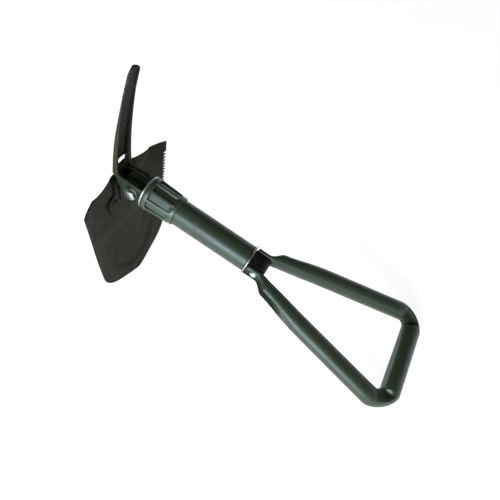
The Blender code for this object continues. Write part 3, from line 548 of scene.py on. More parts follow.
def plated(name, base, rough, streak):
    """Zinc plate: cloudy brightness, fine brushed lines and dull spots."""
    make = Finish(name)
    cloud = make.span(make.noise(90.0, 4.0), 0.34, 0.66)
    body = make.blend(cloud, shade(base, 0.80), shade(base, 1.08))
    spot = make.span(make.noise(420.0, 3.0), 0.62, 0.72, 0.0, 0.45)
    body = make.blend(spot, body, shade(base, 0.42))
    make.feed(make.shader.inputs["Base Color"], body)
    make.shader.inputs["Metallic"].default_value = 1.0
    lines = make.noise(260.0, 3.0, streak)
    make.feed(make.shader.inputs["Roughness"], make.span(lines, 0.3, 0.7, rough - 0.06, rough + 0.10))
    make.bump(lines, 0.10, 0.0001)
    return make.material


def blackened(name, base, rough):
    """Blackened steel: oily blotches, faint rust-brown, bright rubbed edges."""
    make = Finish(name)
    cloud = make.span(make.noise(110.0, 5.0), 0.35, 0.65)
    body = make.blend(cloud, shade(base, 0.75), shade(base, 1.35))
    rust = make.span(make.noise(240.0, 4.0), 0.60, 0.72, 0.0, 0.4)
    body = make.blend(rust, body, (0.045, 0.028, 0.016, 1.0))
    rubbed = make.times(make.edges(0.0006), make.span(make.noise(300.0, 3.0), 0.42, 0.60, 0.0, 0.7))
    make.feed(make.shader.inputs["Base Color"], make.blend(rubbed, body, (0.20, 0.20, 0.19, 1.0)))
    make.shader.inputs["Metallic"].default_value = 0.55
    make.feed(make.shader.inputs["Roughness"], make.span(cloud, 0.0, 1.0, rough - 0.05, rough + 0.12))
    make.bump(make.noise(500.0, 3.0), 0.15, 0.0002)
    return make.material


def paint(context, name, polish=0.75, shadow=0.20):
    """The glossy enamel of one piece, with painted shade in its hollows."""
    finish = context.scene.shovel_finish
    return enamel(name, finish.paint, finish, finish.gloss, polish, finish.wear, shadow)


def flat_paint(context, name, base):
    """The flatter enamel of the blade and the pick."""
    finish = context.scene.shovel_finish
    return enamel(name, base, finish, finish.gloss + 0.20, 0.10, finish.wear)


def blade_paint(context, name):
    """The flat enamel of one piece of the blade."""
    return flat_paint(context, name, context.scene.shovel_finish.blade_paint)


def zinc(context, name, level=1.0, rough=0.30, streak=(1.0, 6.0, 6.0)):
    """The plating of one piece, brighter or duller."""
    base = [c * level for c in context.scene.shovel_finish.zinc]
    return plated(name, base, rough, streak)


def black(context, name):
    """The blackened steel of one piece."""
    return blackened(name, context.scene.shovel_finish.dark, 0.42)


# Blade


def top_edge(y):
    """Upper edge of the blade at a distance from its middle line."""
    if y < KNEE_HALF:
        part = max(0.0, (y - NOTCH_HALF) / (KNEE_HALF - NOTCH_HALF))
        return mix(TOP_NECK, TOP_KNEE, part)
    return mix(TOP_KNEE, TOP_SHOULDER, (y - KNEE_HALF) / (SHOULDER_HALF - KNEE_HALF))


def bottom_edge(part):
    """Lower edge, from the tip (0) to the round side corner (1)."""
    edge = TIP_REACH - (TIP_REACH - CORNER_REACH) * part ** TIP_POWER
    turn = max(0.0, (part - CORNER_SHARE) / (1.0 - CORNER_SHARE))
    return edge - CORNER_DROP * (1.0 - math.sqrt(1.0 - turn * turn))


def blade_half(u):
    """Half width of the blade between its shoulder and its side corner."""
    return mix(SHOULDER_HALF, CORNER_HALF, (u - TOP_SHOULDER) / (bottom_edge(1.0) - TOP_SHOULDER))


def hollow_face(sizes, u, y):
    """Distance of the hollow face behind the bolt: curled sides and tip, bent neck, sunk pan."""
    side = abs(y)
    offset = BLADE_OFFSET
    reach = max(0.0, (side - FLAT_HALF) / (SHOULDER_HALF - FLAT_HALF))
    offset -= mix(sizes.shoulder_curl, sizes.corner_curl, smooth_step(u / CORNER_REACH)) * reach ** 2
    if u > TIP_CURL_START:
        offset -= sizes.tip_curl * ((u - TIP_CURL_START) / (TIP_REACH - TIP_CURL_START)) ** 2
    crease = mix(TOP_KNEE, CREASE_REACH, min(1.0, max(0.0, (KNEE_HALF - side) / CREASE_REACH)))
    neck_side = SHOULDER_SIDE + sizes.blade_sheet
    outside_notch = min(1.0, max(0.0, (side - neck_side) / (KNEE_HALF - neck_side)))
    offset -= sizes.neck_lean * max(0.0, crease - u) / CREASE_REACH * outside_notch
    raised = smooth_step((side - neck_side) / FLAP_RAMP)
    offset -= sizes.crease_step * smooth_step((crease - u) / CREASE_WIDTH) * raised
    run = max(0.0, (u - PAN_BULGE) / (PAN_END - PAN_BULGE))
    inside = (1.0 - math.hypot(y / PAN_HALF, run)) * PAN_HALF
    sunk = smooth_step(inside / sizes.pan_ramp)
    return offset + sizes.pan_depth * sunk * smooth_step((u - PAN_START) / PAN_FADE)


def blade_sheet(sizes, rows=150, columns=76):
    """The blade's hollow face as one sheet, its normals to the shaft."""
    bm = bmesh.new()
    grid = []
    for row in range(rows + 1):
        down = (row / rows) ** 1.6
        half = blade_half(mix(TOP_SHOULDER, bottom_edge(1.0), down))
        line = []
        for column in range(columns + 1):
            even = 2.0 * column / columns - 1.0
            across = math.copysign(1.0 - (1.0 - abs(even)) ** 1.3, even)
            u = mix(top_edge(abs(across) * SHOULDER_HALF), bottom_edge(abs(across)), down)
            line.append(bm.verts.new((u, across * half, -hollow_face(sizes, u, across * half))))
        grid.append(line)
    for upper, lower in zip(grid, grid[1:]):
        for i in range(columns):
            bm.faces.new((upper[i], lower[i], lower[i + 1], upper[i + 1]))
    return bm


def slot_tool():
    """Two slots at the neck with round feet, one for each ear of the pick."""
    bm = bmesh.new()
    far = -2.0 * BLADE_OFFSET
    inner = PICK_IN - RUN_GAP
    corner = (NOTCH_HALF - inner) / 2
    foot = NOTCH_REACH - corner
    lay = Matrix.Rotation(math.pi / 2, 4, "X")
    for near, wide in ((-NOTCH_HALF, -inner), (inner, NOTCH_HALF)):
        outline = [(far, near)] + arc((foot, (near + wide) / 2), corner, -90, 90, 12) + [(far, wide)]
        slab(outline, far, 0.0, lay, bm)
    return bm


def tooth_tool(sizes):
    """Round cutters in a row along the far edge."""
    bm = bmesh.new()
    radius = sizes.tooth_width / 2
    for i in range(sizes.tooth_count):
        u = 0.0125 + sizes.tooth_pitch * (i + 0.5)
        place = Matrix.Translation((u, blade_half(u) + radius - sizes.tooth_depth, -BLADE_OFFSET))
        rod(radius, 2 * BLADE_OFFSET, place @ Matrix.Rotation(math.pi / 2, 4, "Y"), 28, bm)
    return bm


def rivet_places():
    """Names and places of the two bracket rivets, their axes along +Z of the blade."""
    upright = Matrix.Rotation(-math.pi / 2, 4, "Y")
    for name, side in (("bracket_rivet_near", -1.0), ("bracket_rivet_far", 1.0)):
        yield name, Matrix.Translation((RIVET_REACH, side * RIVET_HALF, 0.0)) @ upright


def rivet_holes():
    """Cutters for the two rivets."""
    bm = bmesh.new()
    for _, place in rivet_places():
        rod(0.0025 + GAP, 2 * BLADE_OFFSET, place, 24, bm)
    return bm


class SHOVEL_OT_blade(Operator):
    """Dished blade with saw teeth along its far edge and two slots at the neck"""

    bl_idname = "shovel.blade"
    bl_label = "Blade"

    def execute(self, context):
        sizes = context.scene.shovel_sizes
        bm = blade_sheet(sizes)
        mesh = bpy.data.meshes.new("blade")
        bm.to_mesh(mesh)
        bm.free()
        blade = bpy.data.objects.new("blade", mesh)
        context.scene.collection.objects.link(blade)
        sheet = blade.modifiers.new("sheet", "SOLIDIFY")
        sheet.thickness = sizes.blade_sheet
        sheet.offset = -1.0
        settle(blade)
        carve(blade, "DIFFERENCE", slot_tool())
        carve(blade, "DIFFERENCE", tooth_tool(sizes))
        carve(blade, "DIFFERENCE", rivet_holes())
        finish_piece(blade, frames()["blade"], "blade", blade_paint(context, "blade_enamel"),
                     ["shovel_blade"], sizes.edge)
        return {"FINISHED"}


# Bracket


def shield_outline():
    """Bracket plate: a middle strip to the top, wide lobes, and a rounded foot."""
    lobe_in = NOTCH_HALF + GAP
    points = [(-BRACKET_TAB, BRACKET_OUT), (-BRACKET_TAB, -BRACKET_OUT), (BRACKET_TOP, -BRACKET_OUT),
              (BRACKET_TOP, -lobe_in)]
    points += [(SHOULDER_TOP, -lobe_in), (SHOULDER_TOP, -SHOULDER_SIDE)]
    rise = BRACKET_WIDEST - BRACKET_TOP
    first = math.asin(SHOULDER_SIDE / BRACKET_HALF)
    count = 14
    for i in range(1, count + 1):
        angle = mix(first, math.pi / 2, i / count)
        points.append((BRACKET_WIDEST - rise * math.cos(angle), -BRACKET_HALF * math.sin(angle)))
    drop = BRACKET_FOOT - BRACKET_WIDEST
    for i in range(1, 3 * count):
        angle = math.pi * i / (3 * count)
        points.append((BRACKET_WIDEST + drop * math.sin(angle), -BRACKET_HALF * math.cos(angle)))
    return points + [(u, -y) for u, y in reversed(points[2:6 + count])]


class SHOVEL_OT_bracket(Operator):
    """Shield-shaped plate in the blade's hollow, with two ears back to the pivot"""

    bl_idname = "shovel.bracket"
    bl_label = "Bracket"

    def execute(self, context):
        sizes = context.scene.shovel_sizes
        lay = Matrix.Rotation(math.pi / 2, 4, "X")
        low = -BRACKET_FACE - 0.0018
        bracket = raw_piece("bracket", slab(shield_outline(), low, -BRACKET_FACE, lay))
        ears = bmesh.new()
        outline = [(-BRACKET_EAR, low + GAP)] + arc((0.0, 0.0), BRACKET_EAR, 180, 0, 32)
        outline += [(BRACKET_EAR, low + GAP)]
        for near, far in ((-BRACKET_OUT, -BRACKET_IN), (BRACKET_IN, BRACKET_OUT)):
            slab(outline, near, far, bm=ears)
        carve(bracket, "UNION", ears)
        slits = bmesh.new()
        inner = PICK_IN - RUN_GAP
        far = -2 * BLADE_OFFSET
        for near, wide in ((-NOTCH_HALF, -inner), (inner, NOTCH_HALF)):
            slit = [(far, near), (NOTCH_REACH, near), (NOTCH_REACH, wide), (far, wide)]
            slab(slit, far, -BRACKET_FACE / 2, lay, slits)
        carve(bracket, "DIFFERENCE", slits)
        carve(bracket, "DIFFERENCE", rod(sizes.bolt_width / 2 + GAP, 2 * HEAD_SEAT, along_y()))
        carve(bracket, "DIFFERENCE", rivet_holes())
        finish_piece(bracket, frames()["blade"], "blade", blade_paint(context, "bracket_enamel"),
                     ["blade_bracket"], 2.0 * sizes.edge)
        return {"FINISHED"}


class SHOVEL_OT_bracket_rivets(Operator):
    """Two dome-headed rivets through the bracket's lobes and the blade"""

    bl_idname = "shovel.bracket_rivets"
    bl_label = "Bracket rivets"

    def execute(self, context):
        sizes = context.scene.shovel_sizes
        front = -BRACKET_FACE + GAP
        back = -BLADE_OFFSET - sizes.blade_sheet - GAP
        head = sizes.rivet_head / 2
        outline = [(-x, r) for x, r in reversed(dome(head, 0.00105, -back))]
        outline += [(back, 0.0025), (front, 0.0025)]
        outline += dome(head, 0.0021, front)
        for name, place in rivet_places():
            rivet = raw_piece(name + "_head", lathe(outline, 40, place))
            finish_piece(rivet, frames()["blade"], "blade", blade_paint(context, name + "_enamel"), [name])
        return {"FINISHED"}


# Pick


def pick_back(z):
    """Distance of the pick's back in front of the bolt axis at a height."""
    part = max(0.0, (z - PICK_LEAN_START) / (PICK_TOP - PICK_LEAN_START))
    return mix(PICK_BACK, PICK_TIP_BACK, part ** 1.7)


def pick_half(z):
    """Half width: a straight taper that ends in a round tip."""
    half = mix(PICK_ROOT_HALF, PICK_TIP_HALF, max(0.0, (z - PICK_FOOT) / (PICK_TOP - PICK_FOOT)))
    round_start = PICK_TOP - PICK_TIP_HALF
    if z > round_start:
        half *= math.sqrt(max(0.02, 1.0 - ((z - round_start) / PICK_TIP_HALF) ** 2))
    return half


def channel_side(front, back, half, bend_x, bend_y, count=10):
    """Half-open channel outline from the near lip round the back to the far lip."""
    near = [(front, -half)]
    for i in range(count + 1):
        angle = math.pi / 2 * (1.0 - i / count)
        near.append((back + bend_x * (1.0 - math.cos(angle)), bend_y - half - bend_y * math.sin(angle)))
    return near + [(x, -y) for x, y in reversed(near)]


def pick_section(z, sheet):
    """One closed section of the channel: bends that soften from the root to the tip."""
    fade = min(1.0, max(0.0, (z - PICK_FOOT) / (0.125 - PICK_FOOT)))
    lip = mix(PICK_LIP, PICK_TIP_LIP, fade)
    half = pick_half(z)
    back = -pick_back(z)
    opening = smooth_step((z - 0.060) / 0.078)
    bend_x = mix(min(PICK_ROUND, 0.8 * lip), 0.8 * lip, opening)
    bend_y = mix(PICK_ROUND, 0.9 * half, opening)
    wall = min(sheet, 0.45 * half)
    outer = channel_side(back + lip, back, half, bend_x, bend_y)
    inner = channel_side(back + lip, back + sheet, half - wall, max(bend_x - sheet, 0.2 * bend_x),
                         max(bend_y - wall, 0.3 * bend_y))
    return [(x, y, z) for x, y in outer + inner[::-1]]


def ear_outline():
    """Flat ear: square tail under the ring, straight top, slanted front down from the channel."""
    lip = PICK_BACK - PICK_LIP
    heel = PICK_FOOT + 0.8 * PICK_LIP
    points = [(EAR_TAIL, -EAR_TOP), (EAR_TAIL, EAR_TOP), (-lip + 0.0044, EAR_TOP)]
    points += [(-lip + EAR_CUT, mix(EAR_TOP, EAR_HEEL, 0.4))]
    points += [(-lip - EAR_LAP, EAR_HEEL), (-lip - EAR_LAP, heel)]
    rear = PICK_BACK - PICK_ROUND
    points += [(-rear, heel), (-rear, PICK_FOOT - EAR_CUT), (-PICK_BACK + 0.004, 0.0)]
    points += [(-EAR_SLANT * PICK_BACK, -EAR_CUT)]
    points += [(-BRACKET_EAR, -EAR_TOP + EAR_CUT), (-BRACKET_EAR + EAR_CUT, -EAR_TOP)]
    return points


def arch_tool():
    """Opening under the pick's back, rounded at the top, between the ears."""
    half = PICK_IN - GAP
    outline = [(-half, -EAR_TOP)]
    for i in range(25):
        angle = math.pi * (1.0 - i / 24)
        outline.append((half * math.cos(angle), PICK_WEB - 0.0034 * (1.0 - math.sin(angle))))
    outline.append((half, -EAR_TOP))
    return slab(outline, PICK_BACK / 2, 2 * PICK_BACK, Matrix.Rotation(math.pi / 2, 4, "Z"))


class SHOVEL_OT_pick(Operator):
    """Channel-section pick standing on two flat ears"""

    bl_idname = "shovel.pick"
    bl_label = "Pick"

    def execute(self, context):
        sizes = context.scene.shovel_sizes
        sheet = sizes.pick_sheet
        round_start = PICK_TOP - PICK_TIP_HALF
        heights = [mix(PICK_FOOT, round_start, i / 48) for i in range(49)]
        heights += [round_start + PICK_TIP_HALF * s for s in TIP_MARKS]
        bm, rows = loft([pick_section(z, sheet) for z in heights])
        bm.faces.new(rows[0])
        bm.faces.new(rows[-1])
        pick = raw_piece("pick_blade", bm)
        ears = bmesh.new()
        thin = sheet / 40
        for near, far in ((-PICK_OUT + thin, -PICK_IN - thin), (PICK_IN + thin, PICK_OUT - thin)):
            slab(ear_outline(), near, far, bm=ears)
        carve(pick, "UNION", ears)
        carve(pick, "DIFFERENCE", arch_tool())
        carve(pick, "DIFFERENCE", rod(sizes.bolt_width / 2 + GAP, 2 * HEAD_SEAT, along_y()))
        finish = context.scene.shovel_finish
        outside = flat_paint(context, "pick_enamel", finish.pick_paint)
        finish_piece(pick, frames()["head"], "pick", outside, ["pick"], 2.0 * sizes.edge)
        # The channel's inner faces get the near-black painted shade, the ears below the foot get the glossy enamel.
        pick.data.materials.append(flat_paint(context, "pick_painted_channel_shade", finish.painted_channel_shade))
        pick.data.materials.append(paint(context, "pick_ear_enamel"))
        for face in pick.data.polygons:
            if face.center.z < PICK_FOOT:
                face.material_index = 2
            elif face.center.z > PICK_FOOT + PICK_LIP and face.normal.x > 0.3 and abs(face.normal.z) < 0.5:
                face.material_index = 1
        return {"FINISHED"}


# Pivot


def hexagon(flats, near, far, bore, both):
    """A hexagon along Y with its corners turned off at the near face, or at both."""
    bm = bmesh.new()
    steps = 60
    flat = flats / 2 * 0.93
    corner = flats / math.sqrt(3.0)
    rise = 0.0011
    places = [(near + rise * k / 5, mix(flat, corner, k / 5)) for k in range(6)]
    if both:
        places += [(far - rise * k / 5, mix(flat, corner, k / 5)) for k in range(5, -1, -1)]
    else:
        places += [(far, corner)]
    rings = []
    for y, limit in places:
        ring = []
        for k in range(steps):
            angle = math.tau * k / steps
            side = (angle % (math.pi / 3)) - math.pi / 6
            radius = min(flats / 2 / math.cos(side), limit)
            ring.append(bm.verts.new((radius * math.cos(angle), y, radius * math.sin(angle))))
        rings.append(ring)
    inner = []
    if bore > 0.0:
        mouths = ((far, bore + 0.0005), (far - 0.0005, bore), (near + 0.0005, bore), (near, bore + 0.0005))
        for y, radius in mouths:
            turns = [math.tau * k / steps for k in range(steps)]
            inner.append([bm.verts.new((radius * math.cos(a), y, radius * math.sin(a))) for a in turns])
    else:
        inner = [[bm.verts.new((0.0, far, 0.0))], [bm.verts.new((0.0, near + 0.0002, 0.0))]]
    loop = rings + inner
    for i, ring in enumerate(loop):
        skin(bm, ring, loop[(i + 1) % len(loop)])
    return bm


def threaded(start, end, radius, pitch, depth, bore, steps=48):
    """A threaded rod or sleeve along X; the thread fades at both ends."""
    bm = bmesh.new()
    count = max(8, round((end - start) / pitch * 8))
    rings = []
    for i in range(count + 1):
        x = mix(start, end, i / count)
        fade = min(1.0, (x - start) / pitch * 1.6 + 0.25, (end - x) / pitch * 1.6 + 0.25)
        ring = []
        for k in range(steps):
            phase = (x / pitch - k / steps) % 1.0
            groove = depth * fade * (1.0 - abs(2.0 * phase - 1.0))
            angle = math.tau * k / steps
            ring.append((x, (radius - groove) * math.sin(angle), (radius - groove) * math.cos(angle)))
        rings.append(ring)
    if bore > 0.0:
        for x in (end, start):
            turns = [math.tau * k / steps for k in range(steps)]
            rings.append([(x, bore * math.sin(a), bore * math.cos(a)) for a in turns])
    else:
        rings += [[(end, 0.0, 0.0)], [(start, 0.0, 0.0)]]
    return loft(rings, True, bm)[0]


class SHOVEL_OT_pivot(Operator):
    """Hexagon bolt through the head with its nut, washers and thin spacer washers"""

    bl_idname = "shovel.pivot"
    bl_label = "Pivot bolt"

    def execute(self, context):
        sizes = context.scene.shovel_sizes
        head = frames()["head"]
        radius = sizes.bolt_width / 2
        nut_face = HEAD_SEAT + 0.0036
        bolt = raw_piece("bolt", hexagon(sizes.hex_flats, -HEAD_SEAT - 0.0053, -HEAD_SEAT, 0.0, False))
        inside = -HEAD_SEAT - LAP
        neck = [(inside, 0.0), (inside, radius), (PICK_OUT, radius), (PICK_OUT, 0.0)]
        carve(bolt, "UNION", lathe(neck, 48, along_y()))
        thread = threaded(PICK_OUT - 0.001, nut_face + 0.0006, radius, 0.00125, 0.00055, 0.0)
        bmesh.ops.transform(thread, matrix=along_y(), verts=thread.verts)
        carve(bolt, "UNION", thread)
        finish_piece(bolt, head, "shaft", zinc(context, "bolt_zinc", 1.2, 0.42), ["pivot_bolt"])
        nut = raw_piece("nut", hexagon(sizes.hex_flats, HEAD_SEAT, nut_face, radius + GAP, True))
        finish_piece(nut, head, "shaft", paint(context, "nut_enamel"), ["pivot_nut"])
        bore = radius + GAP
        washers = (("bolt_washer", -1, 0.0074, WASHER_THICK, PICK_OUT + GAP),
                   ("nut_washer", 1, 0.0074, WASHER_THICK, PICK_OUT + GAP),
                   ("spacer_washer_near", -1, 0.009, SHIM_THICK, BRACKET_OUT + GAP),
                   ("spacer_washer_far", 1, 0.009, SHIM_THICK, BRACKET_OUT + GAP))
        for name, side, outer, thick, seat in washers:
            corners = [(seat, bore), (seat, outer), (seat + thick, outer), (seat + thick, bore)]
            outline = eased(corners, thick / 3)
            turn = Matrix.Rotation(side * math.pi / 2, 4, "Z")
            washer = raw_piece(name + "_plate", lathe(outline, 48, turn))
            finish_piece(washer, head, "shaft", zinc(context, name + "_zinc", 0.8, 0.34), [name])
        return {"FINISHED"}


# Shaft and collar


class SHOVEL_OT_shaft(Operator):
    """Shaft tube with its bright end plate"""

    bl_idname = "shovel.shaft"
    bl_label = "Shaft"

    def execute(self, context):
        sizes = context.scene.shovel_sizes
        place = frames()["shaft"]
        outer = sizes.tube_width / 2
        front = -BOLT_REACH + 0.0443 + GAP
        rear = -0.0007 - GAP
        count = 24
        outline = [(mix(front, rear, i / count), outer) for i in range(count + 1)]
        outline += [(rear, outer - 0.0012), (front, outer - 0.0012)]
        tube = raw_piece("tube", lathe(outline, 96))
        pin_place = Matrix.Translation((-BOLT_REACH + 0.0513, 0.0, 0.0))
        pin_hole = pin_place @ Matrix.Rotation(math.pi / 2, 4, "Y")
        carve(tube, "DIFFERENCE", rod(0.0025 + GAP, 2 * outer, pin_hole, 24))
        finish_piece(tube, place, "shaft", paint(context, "tube_enamel"), ["shaft_tube"])
        edge = sizes.plate_width / 2
        hole = 0.0088 + GAP
        outline = eased([(-0.0007, hole), (-0.0007, edge), (0.0007, edge), (0.0007, hole)], 0.0004)
        plate = raw_piece("plate", lathe(outline, 96))
        look = zinc(context, "plate_zinc", 0.75, 0.34, (6.0, 1.0, 1.0))
        finish_piece(plate, place, "shaft", look, ["end_plate"])
        return {"FINISHED"}


class SHOVEL_OT_head(Operator):
    """Flat tongue of the shaft, its threaded barrel and the two cross pins"""

    bl_idname = "shovel.head"
    bl_label = "Shaft head"

    def execute(self, context):
        sizes = context.scene.shovel_sizes
        place = frames()["head"]
        half = 0.007
        front = 0.0193
        tilt = math.degrees(math.asin(half / 0.016))
        outline = [(front - GAP, half)] + arc((0.0, 0.0), 0.016, 180 - tilt, 180 + tilt, 16)
        outline += [(front - GAP, -half)]
        tongue = raw_piece("tongue", slab(outline, -TONGUE_HALF, TONGUE_HALF))
        end = front + 0.027
        stem = [(front - half, 0.0), (front - half, half - GAP), (front - 2 * GAP, half - GAP),
                (front - 2 * GAP, 0.010), (end, 0.010), (end, 0.0)]
        carve(tongue, "UNION", lathe(stem, 48))
        carve(tongue, "DIFFERENCE", rod(sizes.bolt_width / 2 + GAP, 2 * HEAD_SEAT, along_y()))
        pin_x = front + 0.009
        upright = Matrix.Rotation(math.pi / 2, 4, "Y")
        first = Matrix.Translation((pin_x, 0.0, 0.0)) @ upright
        second = Matrix.Translation((0.0513, 0.0, 0.0)) @ upright
        carve(tongue, "DIFFERENCE", rod(0.0025 + GAP, 0.04, first, 24))
        look = paint(context, "tongue_enamel", 0.5, 1.0)
        finish_piece(tongue, place, "shaft", look, ["head_tongue"], sizes.edge)

        step = front + 0.025
        barrel = raw_piece("barrel", threaded(front, step, 0.0156, sizes.thread_pitch, 0.0009, 0.0103))
        plug = sizes.tube_width / 2 - 0.0012 - GAP
        outline = eased([(step - 0.001, 0.0103), (step - 0.001, plug), (step + 0.014, plug), (step + 0.014, 0.0103)],
                        0.0005)
        carve(barrel, "UNION", lathe(outline, 48))
        carve(barrel, "DIFFERENCE", rod(0.0025 + GAP, 0.04, first, 24))
        carve(barrel, "DIFFERENCE", rod(0.0025 + GAP, 0.04, second, 24))
        finish_piece(barrel, place, "shaft", black(context, "barrel_black"), ["threaded_barrel"])

        pins = [("barrel_pin", first, 0.0153), ("shaft_pin", second, sizes.tube_width / 2 - GAP)]
        for name, matrix, reach in pins:
            outline = eased([(-reach, 0.0), (-reach, 0.0025), (reach, 0.0025), (reach, 0.0)], 0.0005)
            pin = raw_piece(name + "_rod", lathe(outline, 32, matrix))
            finish_piece(pin, place, "shaft", black(context, name + "_black"), [name])
        return {"FINISHED"}


def rib_height(sizes, x, angle):
    """Height of the collar's ribs over its body at a place behind the front band."""
    rear = 0.0402 - 0.0045
    if x > rear:
        return 0.0
    pitch = math.tau / sizes.rib_count
    beside = abs((angle + RIB_TURN) % pitch - pitch / 2)
    flank = 1.0 - smooth_step((beside * 0.0184 - 0.34 * sizes.rib_width) / (0.32 * sizes.rib_width))
    rise = mix(0.0016, 0.0008, max(0.0, (x - 0.0062) / (rear - 0.0062)))
    run_out = smooth_step((rear - x) / sizes.rib_width)
    panel = 0.0184 * (1.0 - math.cos(pitch / 2) / math.cos(pitch / 2 - beside))
    return (rise * flank - panel * (1.0 - flank)) * run_out


class SHOVEL_OT_collar(Operator):
    """Ribbed lock collar and the bright thrust ring in front of it"""

    bl_idname = "shovel.collar"
    bl_label = "Lock collar"

    def execute(self, context):
        sizes = context.scene.shovel_sizes
        place = frames()["head"] @ Matrix.Translation((0.0130, 0.0, 0.0))
        edge = sizes.ring_width / 2
        outline = [(0.0, RING_BORE), (0.0, edge), (RING_THICK, edge), (RING_THICK, RING_SKIRT)]
        outline += [(RING_END, RING_SKIRT), (RING_END, RING_BORE)]
        ring = raw_piece("bright_ring", lathe(eased(outline, 0.00045, 4), 128))
        look = zinc(context, "ring_zinc", 1.2, 0.40, (6.0, 1.0, 1.0))
        finish_piece(ring, place, "ring", look, ["thrust_ring"])

        start = 0.0018 + GAP
        band = sizes.band_width / 2
        stations = [(0.0, band - 0.0009), (0.0002, band - 0.00045), (0.0005, band - 0.00015)]
        stations += [(0.0009, band), (0.0052, band)]
        stations += [(0.0057, band - 0.00015), (0.0060, band - 0.0005), (0.0062, band - 0.0012)]
        stations += [(0.0064, 0.01840)]
        rear = 0.0402 - 0.0045
        stations += [(mix(0.0068, rear, i / 22), mix(0.0184, 0.0178, i / 22)) for i in range(23)]
        stations += [(0.0394, 0.0178), (0.0398, 0.01765), (0.0401, 0.0174), (0.0402, 0.0171)]
        steps = 300
        turns = [math.tau * k / steps for k in range(steps)]
        rings = []
        for x, radius in stations:
            ring_points = []
            for angle in turns:
                r = radius
                if 0.0056 < x < rear:
                    body = mix(0.0184, 0.0178, max(0.0, (x - 0.0062) / (rear - 0.0062)))
                    r = body + rib_height(sizes, x, angle)
                    r = max(r, radius) if x < 0.0064 else r
                ring_points.append((start + x, r * math.sin(angle), r * math.cos(angle)))
            rings.append(ring_points)
        inside = [(0.0402, 0.0163), (0.0232, 0.0163), (0.0232, 0.0159), (0.0042, 0.0159), (0.0042, 0.0182),
                  (0.0026, 0.0182), (0.0026, 0.0192), (0.0, 0.0192)]
        for x, r in inside:
            rings.append([(start + x, r * math.sin(a), r * math.cos(a)) for a in turns])
        collar = raw_piece("collar", loft(rings, True)[0])
        finish_piece(collar, place, "collar", paint(context, "collar_enamel", 1.1), ["lock_collar"])
        return {"FINISHED"}


# Grip


def leg_end(z):
    """End of a leg beside the plate: round above the hinge, square below, where it stops."""
    if z > 0.0:
        return -math.sqrt(max(HINGE_CLEAR ** 2 - z * z, 0.0))
    return -HINGE_CLEAR


def grip_section(place, across, half_n, half_z, boxy, groove, groove_half, wall, end=False, bend=0.0):
    """Ring of the grip tube: a rounded section, pressed in on its outer side, or dented in a bend."""
    flat = mix(8.0, 2.0, smooth_step((boxy - END_BOXY) / (1.0 - END_BOXY)))
    points = []
    steps = 96
    for i in range(steps):
        angle = math.tau * (i + 0.5) / steps
        c, s = math.cos(angle), math.sin(angle)
        n = half_n * math.copysign(abs(c) ** boxy, c)
        z = half_z * math.copysign(abs(s) ** boxy, s)
        n *= 1.0 - BEND_FLAT * bend if c > 0.0 else 1.0 + BEND_SPREAD * bend
        z *= 1.0 - BEND_DENT * smooth_step(1.5 * bend) * smooth_step((0.50 - c) / 0.80)
        if c > 0.0 and abs(z) < groove_half:
            pressed = n - groove * math.sqrt(1.0 - abs(z / groove_half) ** flat)
            n = max(pressed, min(n, wall / 2 - n))
        point = place + across * n
        points.append((leg_end(z) if end else point.x, point.y, z))
    return points


def leg_marks(bend_start):
    """Places along a leg where the tube gets a ring."""
    marks = [mix(-HINGE_CLEAR, CHANNEL_END, i / 8) for i in range(9)]
    marks += [mix(CHANNEL_END, LEG_STRAIGHT, i / 24) for i in range(1, 25)]
    marks += [mix(LEG_STRAIGHT, GROOVE_END, i / 30) for i in range(1, 31)]
    marks += [mix(GROOVE_END, bend_start, i / 10) for i in range(1, 11)]
    return marks


def grip_rings(sizes, wall):
    """All rings of the bent tube; a wall makes the bore."""
    radius = sizes.grip_width / 2
    slope = (GRIP_HALF - LEG_START_HALF) / (GRIP_CORNER - LEG_STRAIGHT)
    lean = math.atan(slope)
    stretch = 1.0 / math.cos(lean)
    total = math.pi / 2 + lean
    bend_start = GRIP_CORNER - GRIP_BEND * math.tan(total / 2) * math.cos(lean)
    rings = []
    middle = 0.0
    for index, x in enumerate(leg_marks(bend_start)):
        part = smooth_step((x - CHANNEL_END) / (LEG_STRAIGHT - CHANNEL_END))
        late = smooth_step((x - LEG_STRAIGHT) / (SWELL_END - LEG_STRAIGHT))
        size = 0.70 * part + 0.30 * late
        half_n = mix(0.0032, radius * stretch, size)
        half_z = mix(0.0086, radius, size)
        line = LEG_START_HALF + slope * (x - LEG_STRAIGHT) - radius * stretch
        middle = mix(LEG_IN, line, part) + half_n
        press = 1.0 - smooth_step((x - LEG_STRAIGHT) / (GROOVE_END - LEG_STRAIGHT))
        groove = mix(0.0034, radius * 0.78, part) * press
        groove_half = mix(0.78 * 0.0086, 0.46 * radius, late) + wall
        turn = lean * min(1.0, max(0.0, (x - GROOVE_END) / (bend_start - GROOVE_END)))
        if turn:
            half_n *= math.cos(lean) / math.cos(lean - turn)
        across = Vector((-math.sin(turn), math.cos(turn), 0.0))
        rings.append(grip_section(Vector((x, middle, 0.0)), across, half_n - wall, half_z - wall,
                                  mix(END_BOXY, 1.0, max(late, 0.5 * part)), groove, groove_half, sizes.grip_wall,
                                  index == 0))
    across = Vector((-math.sin(lean), math.cos(lean), 0.0))
    centre = Vector((bend_start, middle, 0.0)) - across * GRIP_BEND
    count = 28
    for i in range(1, count + 1):
        angle = lean - total * i / count
        across = Vector((-math.sin(angle), math.cos(angle), 0.0))
        swell = math.sin(math.pi * i / count)
        rings.append(grip_section(centre + across * GRIP_BEND, across, radius - wall, radius - wall, 1.0, 0.0, 1.0,
                                  sizes.grip_wall, False, swell))
    bar = [[(x, y * part, z) for x, y, z in rings[-1]] for part in (0.75, 0.5, 0.25)]
    half = rings + bar
    return half + [[(x, -y, z) for x, y, z in ring] for ring in reversed(half)]


